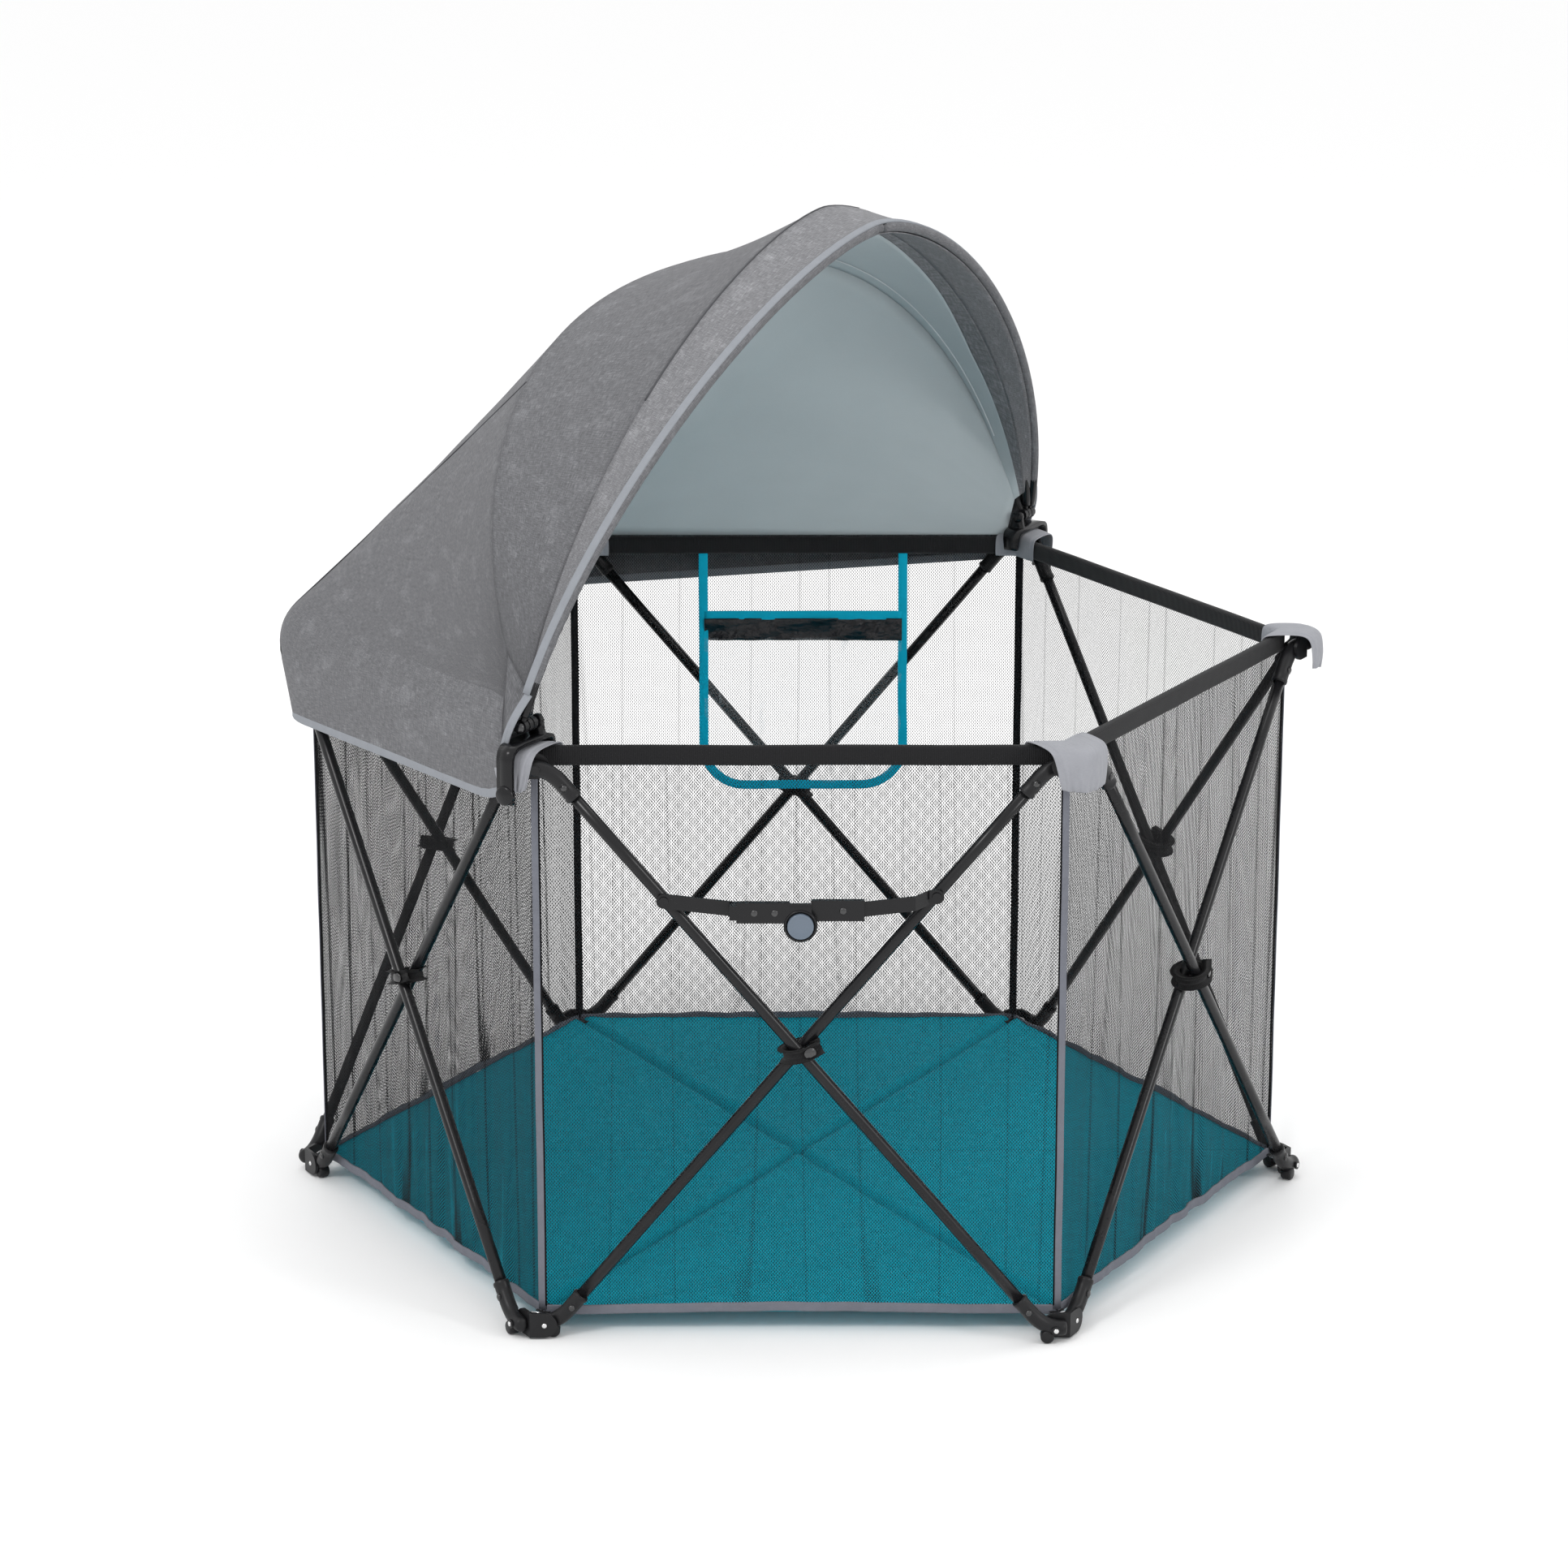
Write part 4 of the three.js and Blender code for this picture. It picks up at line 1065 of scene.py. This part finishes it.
def canopy_lining(base, lean):
    """The silver lining, and the inner side of the front band that hides the bows."""
    inner_front = over_bow("front", LINING_CLEAR)
    inner_middle = over_bow("middle", LINING_CLEAR, 0.11)
    inner_rear = over_bow("rear", LINING_CLEAR, 0.03)
    edge = inner_rear * (1 - LINING_END) + inner_middle * LINING_END
    foot = round_rim(-0.0240, [0.7110] * 4, (0.020, 0.020), 0.018)
    canopy_piece("canopy_rear_lining", between(inner_rear, foot, 26), LINING, 0, lean["rear"],
                 (base, "bow_rear"), 0.0030, 13, (1.60, 0.62))
    swing = (lean["rear"], lean["middle"], ("bow_rear", "bow_middle"))
    canopy_piece("canopy_middle_lining", between(inner_rear, edge, 14), LINING, *swing, 0.0012, 17,
                 (1.50, 0.16))
    canopy_piece("canopy_inner_band", between(edge, inner_middle, 8), BAND, *swing, 0.0012, 21, (1.50, 0.05))
    canopy_piece("canopy_inner_edge", between(inner_middle, inner_front, 7), BAND, lean["middle"],
                 lean["front"], ("bow_middle", "bow_front"), 0.0005, 23, (1.55, 0.08))
    line = over_bow("rear", LINING_CLEAR - 0.0016) * 0.80 + over_bow("middle", LINING_CLEAR - 0.0016) * 0.20
    stitch = tape("canopy_lining_seam", line[48:-4], radial(line[48:-4]), 0.0016, 0.0008, STITCH)
    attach(stitch, "bow_rear")


def side_flap(name, shell, bow_rows, column):
    """Cloth from the bows' feet down to the rim at one end. Returns its free front edge, down to the hem."""
    front, middle, rear = (row[column] for row in bow_rows)
    rim_end = shell[RIM_ROW][column]
    away = -ALONG if column == 0 else ALONG
    rows, edge = [], []
    for v in np.linspace(0, 1, 16):
        back = shell[int(round(v * RIM_ROW))][column]
        ahead = front * (1 - v) + rim_end * v + away * 0.010 * math.sin(math.pi * v)
        bend = middle - (rear + front) / 2
        rows.append([back * (1 - u) + ahead * u + bend * (1 - v) * (1 - abs(2 * u - 1))
                     for u in np.linspace(0, 1, 11)])
        edge.append(ahead)
    flap = grid(f"canopy_{name}_side_flap", rows, CANOPY)
    thicken(flap, 0.0011)
    folds(flap, 0, BOWS["rear"][3], upper(0), "bow_rear")
    return np.array(edge + [row[column] for row in shell[RIM_ROW + 1:]])


def radial(points):
    arm_of = points - AXIS
    arm_of = arm_of - np.outer(arm_of @ ALONG, ALONG)
    return arm_of / np.linalg.norm(arm_of, axis=1, keepdims=True)


def level_outward(points):
    """The level direction away from the yard's middle at each point."""
    return points * (1, 1, 0) / np.linalg.norm(points[:, :2], axis=1, keepdims=True)


def canopy_edges(shell, bow_rows, hem, fronts):
    """Bindings on the cloth's edges and the seams that show."""
    front, middle, _ = bow_rows
    lean = BOWS["front"][3]
    forward = -BACK * math.sin(lean) + UP * math.cos(lean)
    edge = tape("canopy_front_binding", front - forward * 0.0030, radial(front), 0.0095, 0.0026, TRIM)
    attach(edge, "bow_front")
    lower = tape("canopy_hem_binding", hem + (0, 0, 0.004), level_outward(hem), 0.0110, 0.0026, TRIM)
    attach(lower, upper(0))
    for name, side, inward in (("front", fronts[0], ALONG), ("rear", fronts[1], -ALONG)):
        strip = tape(f"canopy_{name}_side_binding", side + inward * 0.001, level_outward(side), 0.0095,
                     0.0026, TRIM)
        folds(strip, 0, BOWS["rear"][3], upper(0), "bow_rear")
    for k, column in enumerate(SEAM_COLUMNS):
        line = np.array([row[column] for row in shell[:-1]])
        away = level_outward(line) + UP
        seam = tape(f"canopy_side_seam_{k}", line + away * 0.0006, away, 0.0022, 0.0012, SEAM_THREAD)
        folds(seam, 0, BOWS["rear"][3], upper(0), "bow_rear")
    top = middle[28:54]
    ridge = tape("canopy_middle_seam", top + radial(top) * 0.0006, radial(top), 0.0022, 0.0012, SEAM_THREAD)
    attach(ridge, "bow_middle")
    tunnel = round_bar("canopy_front_tunnel", over_bow("front", 0), [0.0060] * len(front), CANOPY, None, 16,
                       tuple(ALONG))
    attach(tunnel, "bow_front")


canopy()


# Bows and clamps

def bow_sleeve(name, end):
    """The moulded sleeve that a bow's end stands in."""
    reach = (0.05, 0.055, 0.08, 0.11, 0.14, 0.165, 0.17, 0.172)
    radii = (0.0050, 0.0062, 0.0064, 0.0064, 0.0062, 0.0060, 0.0054, 0.0042)
    path = [bow_point(name, a if end == 0 else math.pi - a) for a in reach]
    sleeve = round_bar(f"{name}_bow_sleeve_{end}", path, radii, GLOSS, None, 20, tuple(ALONG))
    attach(sleeve, f"bow_{name}")


for name in BOWS:
    dress(f"canopy_{name}_bow", STEEL)
    for end in (0, 1):
        bow_sleeve(name, end)

SADDLE = [(-0.0520, 0.6950), (-0.0520, 0.7085), (-0.0505, 0.7150), (-0.0460, 0.7185), (-0.0380, 0.7196),
          (0.0120, 0.7200), (0.0230, 0.7188), (0.0295, 0.7145), (0.0325, 0.7070), (0.0330, 0.6960),
          (0.0330, 0.6560)]
SADDLE_HALF = [0.0095, 0.0112, 0.0118, 0.0122, 0.0124, 0.0122, 0.0118, 0.0112, 0.0106, 0.0102, 0.0104]


def shaped_bar(name, path, halves, thick, look, matrix):
    """A flat bar along a path in a corner's upright plane, with a crowned section of changing width."""
    path = np.array(path, float)
    _, side, normal = frames(path, (0, 0, 1))
    outline = [(a / thick, b) for a, b in rounded(thick, 2.0, thick * 0.42, 5)]
    rings = [[p + s * a * thick * (1 - 0.25 * b * b) + n * b * half for a, b in outline]
             for p, s, n, half in zip(path, side, normal, halves)]
    return grid(name, on(matrix, rings), look, around=True, caps=True)


def clamp(index, node):
    """A glossy saddle over the rail, with the post, pin and eye that carry the bows."""
    turn = corner(index)
    dense = np.linspace(0, 1, 60)
    reach = lengths(np.array(SADDLE)) / lengths(np.array(SADDLE))[-1]
    outs, heights = zip(*SADDLE)
    path = [(np.interp(t, reach, outs), np.interp(t, reach, heights), 0) for t in dense]
    saddle = shaped_bar("saddle", path, np.interp(dense, reach, SADDLE_HALF), 0.0058, GLOSS, turn)
    post_path = [(-0.0340, y, 0) for y in (0.7180, 0.7200, 0.7230, 0.7270, 0.7320, 0.7370)]
    halves = [0.0122, 0.0116, 0.0100, 0.0088, 0.0080, 0.0076]
    post = shaped_bar("post", post_path, halves, 0.0064, GLOSS, turn)
    barrel = [(0, 0.0068), (0.0012, 0.0080), (0.0056, 0.0080), (0.0068, 0.0068)]
    eye = turned("eye", (-0.0374, BOW_AXIS, 0), (1, 0, 0), barrel, GLOSS, turn, 32)
    pin = turned("pin", (-0.0320, BOW_AXIS, 0), (1, 0, 0), [(0, 0.0030), (0.0365, 0.0030)], CHROME, turn)
    button = [(-0.0060, 0.0100), (-0.0050, 0.0112), (0.0, 0.0114), (0.0022, 0.0110), (0.0034, 0.0094),
              (0.0039, 0.0004)]
    tongue = turned("tongue", (0.0345, 0.6660, 0), (1, 0, 0), button, GLOSS, turn, 40)
    cap = domed("cap", (0.0046, BOW_AXIS, 0), (1, 0, 0), 0.0070, 0.0030, RIVET, turn)
    piece = joined(f"{node}_moulding", [saddle, post, eye, pin, tongue, cap])
    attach(piece, upper(index))
    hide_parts(node)


clamp(0, "canopy_front_clamp")
clamp(3, "canopy_rear_clamp")


# Camera, light and floor

CAMERA_LENS, SENSOR = 106.05, 36
CAMERA_AT = (-0.0263, -5.5140, 2.1136)
CAMERA_DOWN, CAMERA_TURN = 16.18, -0.09     # degrees
FLOOR_SIZE, FLOOR_DROP = 30, 0.0004


def studio():
    camera = bpy.data.objects.new("camera", bpy.data.cameras.new("camera"))
    camera.data.sensor_width = SENSOR
    camera.data.lens = CAMERA_LENS
    camera.location = CAMERA_AT
    camera.rotation_euler = (math.radians(90 - CAMERA_DOWN), 0, math.radians(CAMERA_TURN))
    bpy.context.collection.objects.link(camera)
    bpy.context.scene.camera = camera

    world = bpy.data.worlds.new("studio")
    world.use_nodes = True
    world.node_tree.nodes["Background"].inputs["Color"].default_value = (1, 1, 1, 1)
    world.node_tree.nodes["Background"].inputs["Strength"].default_value = 1.06
    bpy.context.scene.world = world
    bpy.context.scene.view_settings.view_transform = "Standard"

    lamps = {
        "key": ((-2.6, -3.4, 4.2), 80, 1.1),
        "fill": ((3.8, -2.6, 2.4), 34, 0.8),
        "top": ((0.2, 0.8, 4.6), 40, 2.6),
    }
    for name, (place, power, size) in lamps.items():
        light = bpy.data.lights.new(name, "AREA")
        light.energy = power
        light.size = size
        lamp = bpy.data.objects.new(name, light)
        lamp.location = place
        aim = Vector((0, 0, 0.5)) - Vector(place)
        lamp.rotation_euler = aim.to_track_quat("-Z", "Y").to_euler()
        bpy.context.collection.objects.link(lamp)

    look = material("studio_floor", (0.92, 0.92, 0.92), 0.9)
    bump(look, noise_node(look, metres(look, False), 300, 2), 0.0001)
    signs = ((-1, -1), (1, -1), (1, 1), (-1, 1))
    corners = [(a * FLOOR_SIZE, b * FLOOR_SIZE, -FLOOR_DROP) for a, b in signs]
    floor = make("floor", corners, [(0, 1, 2, 3)], look, None, False)


studio()
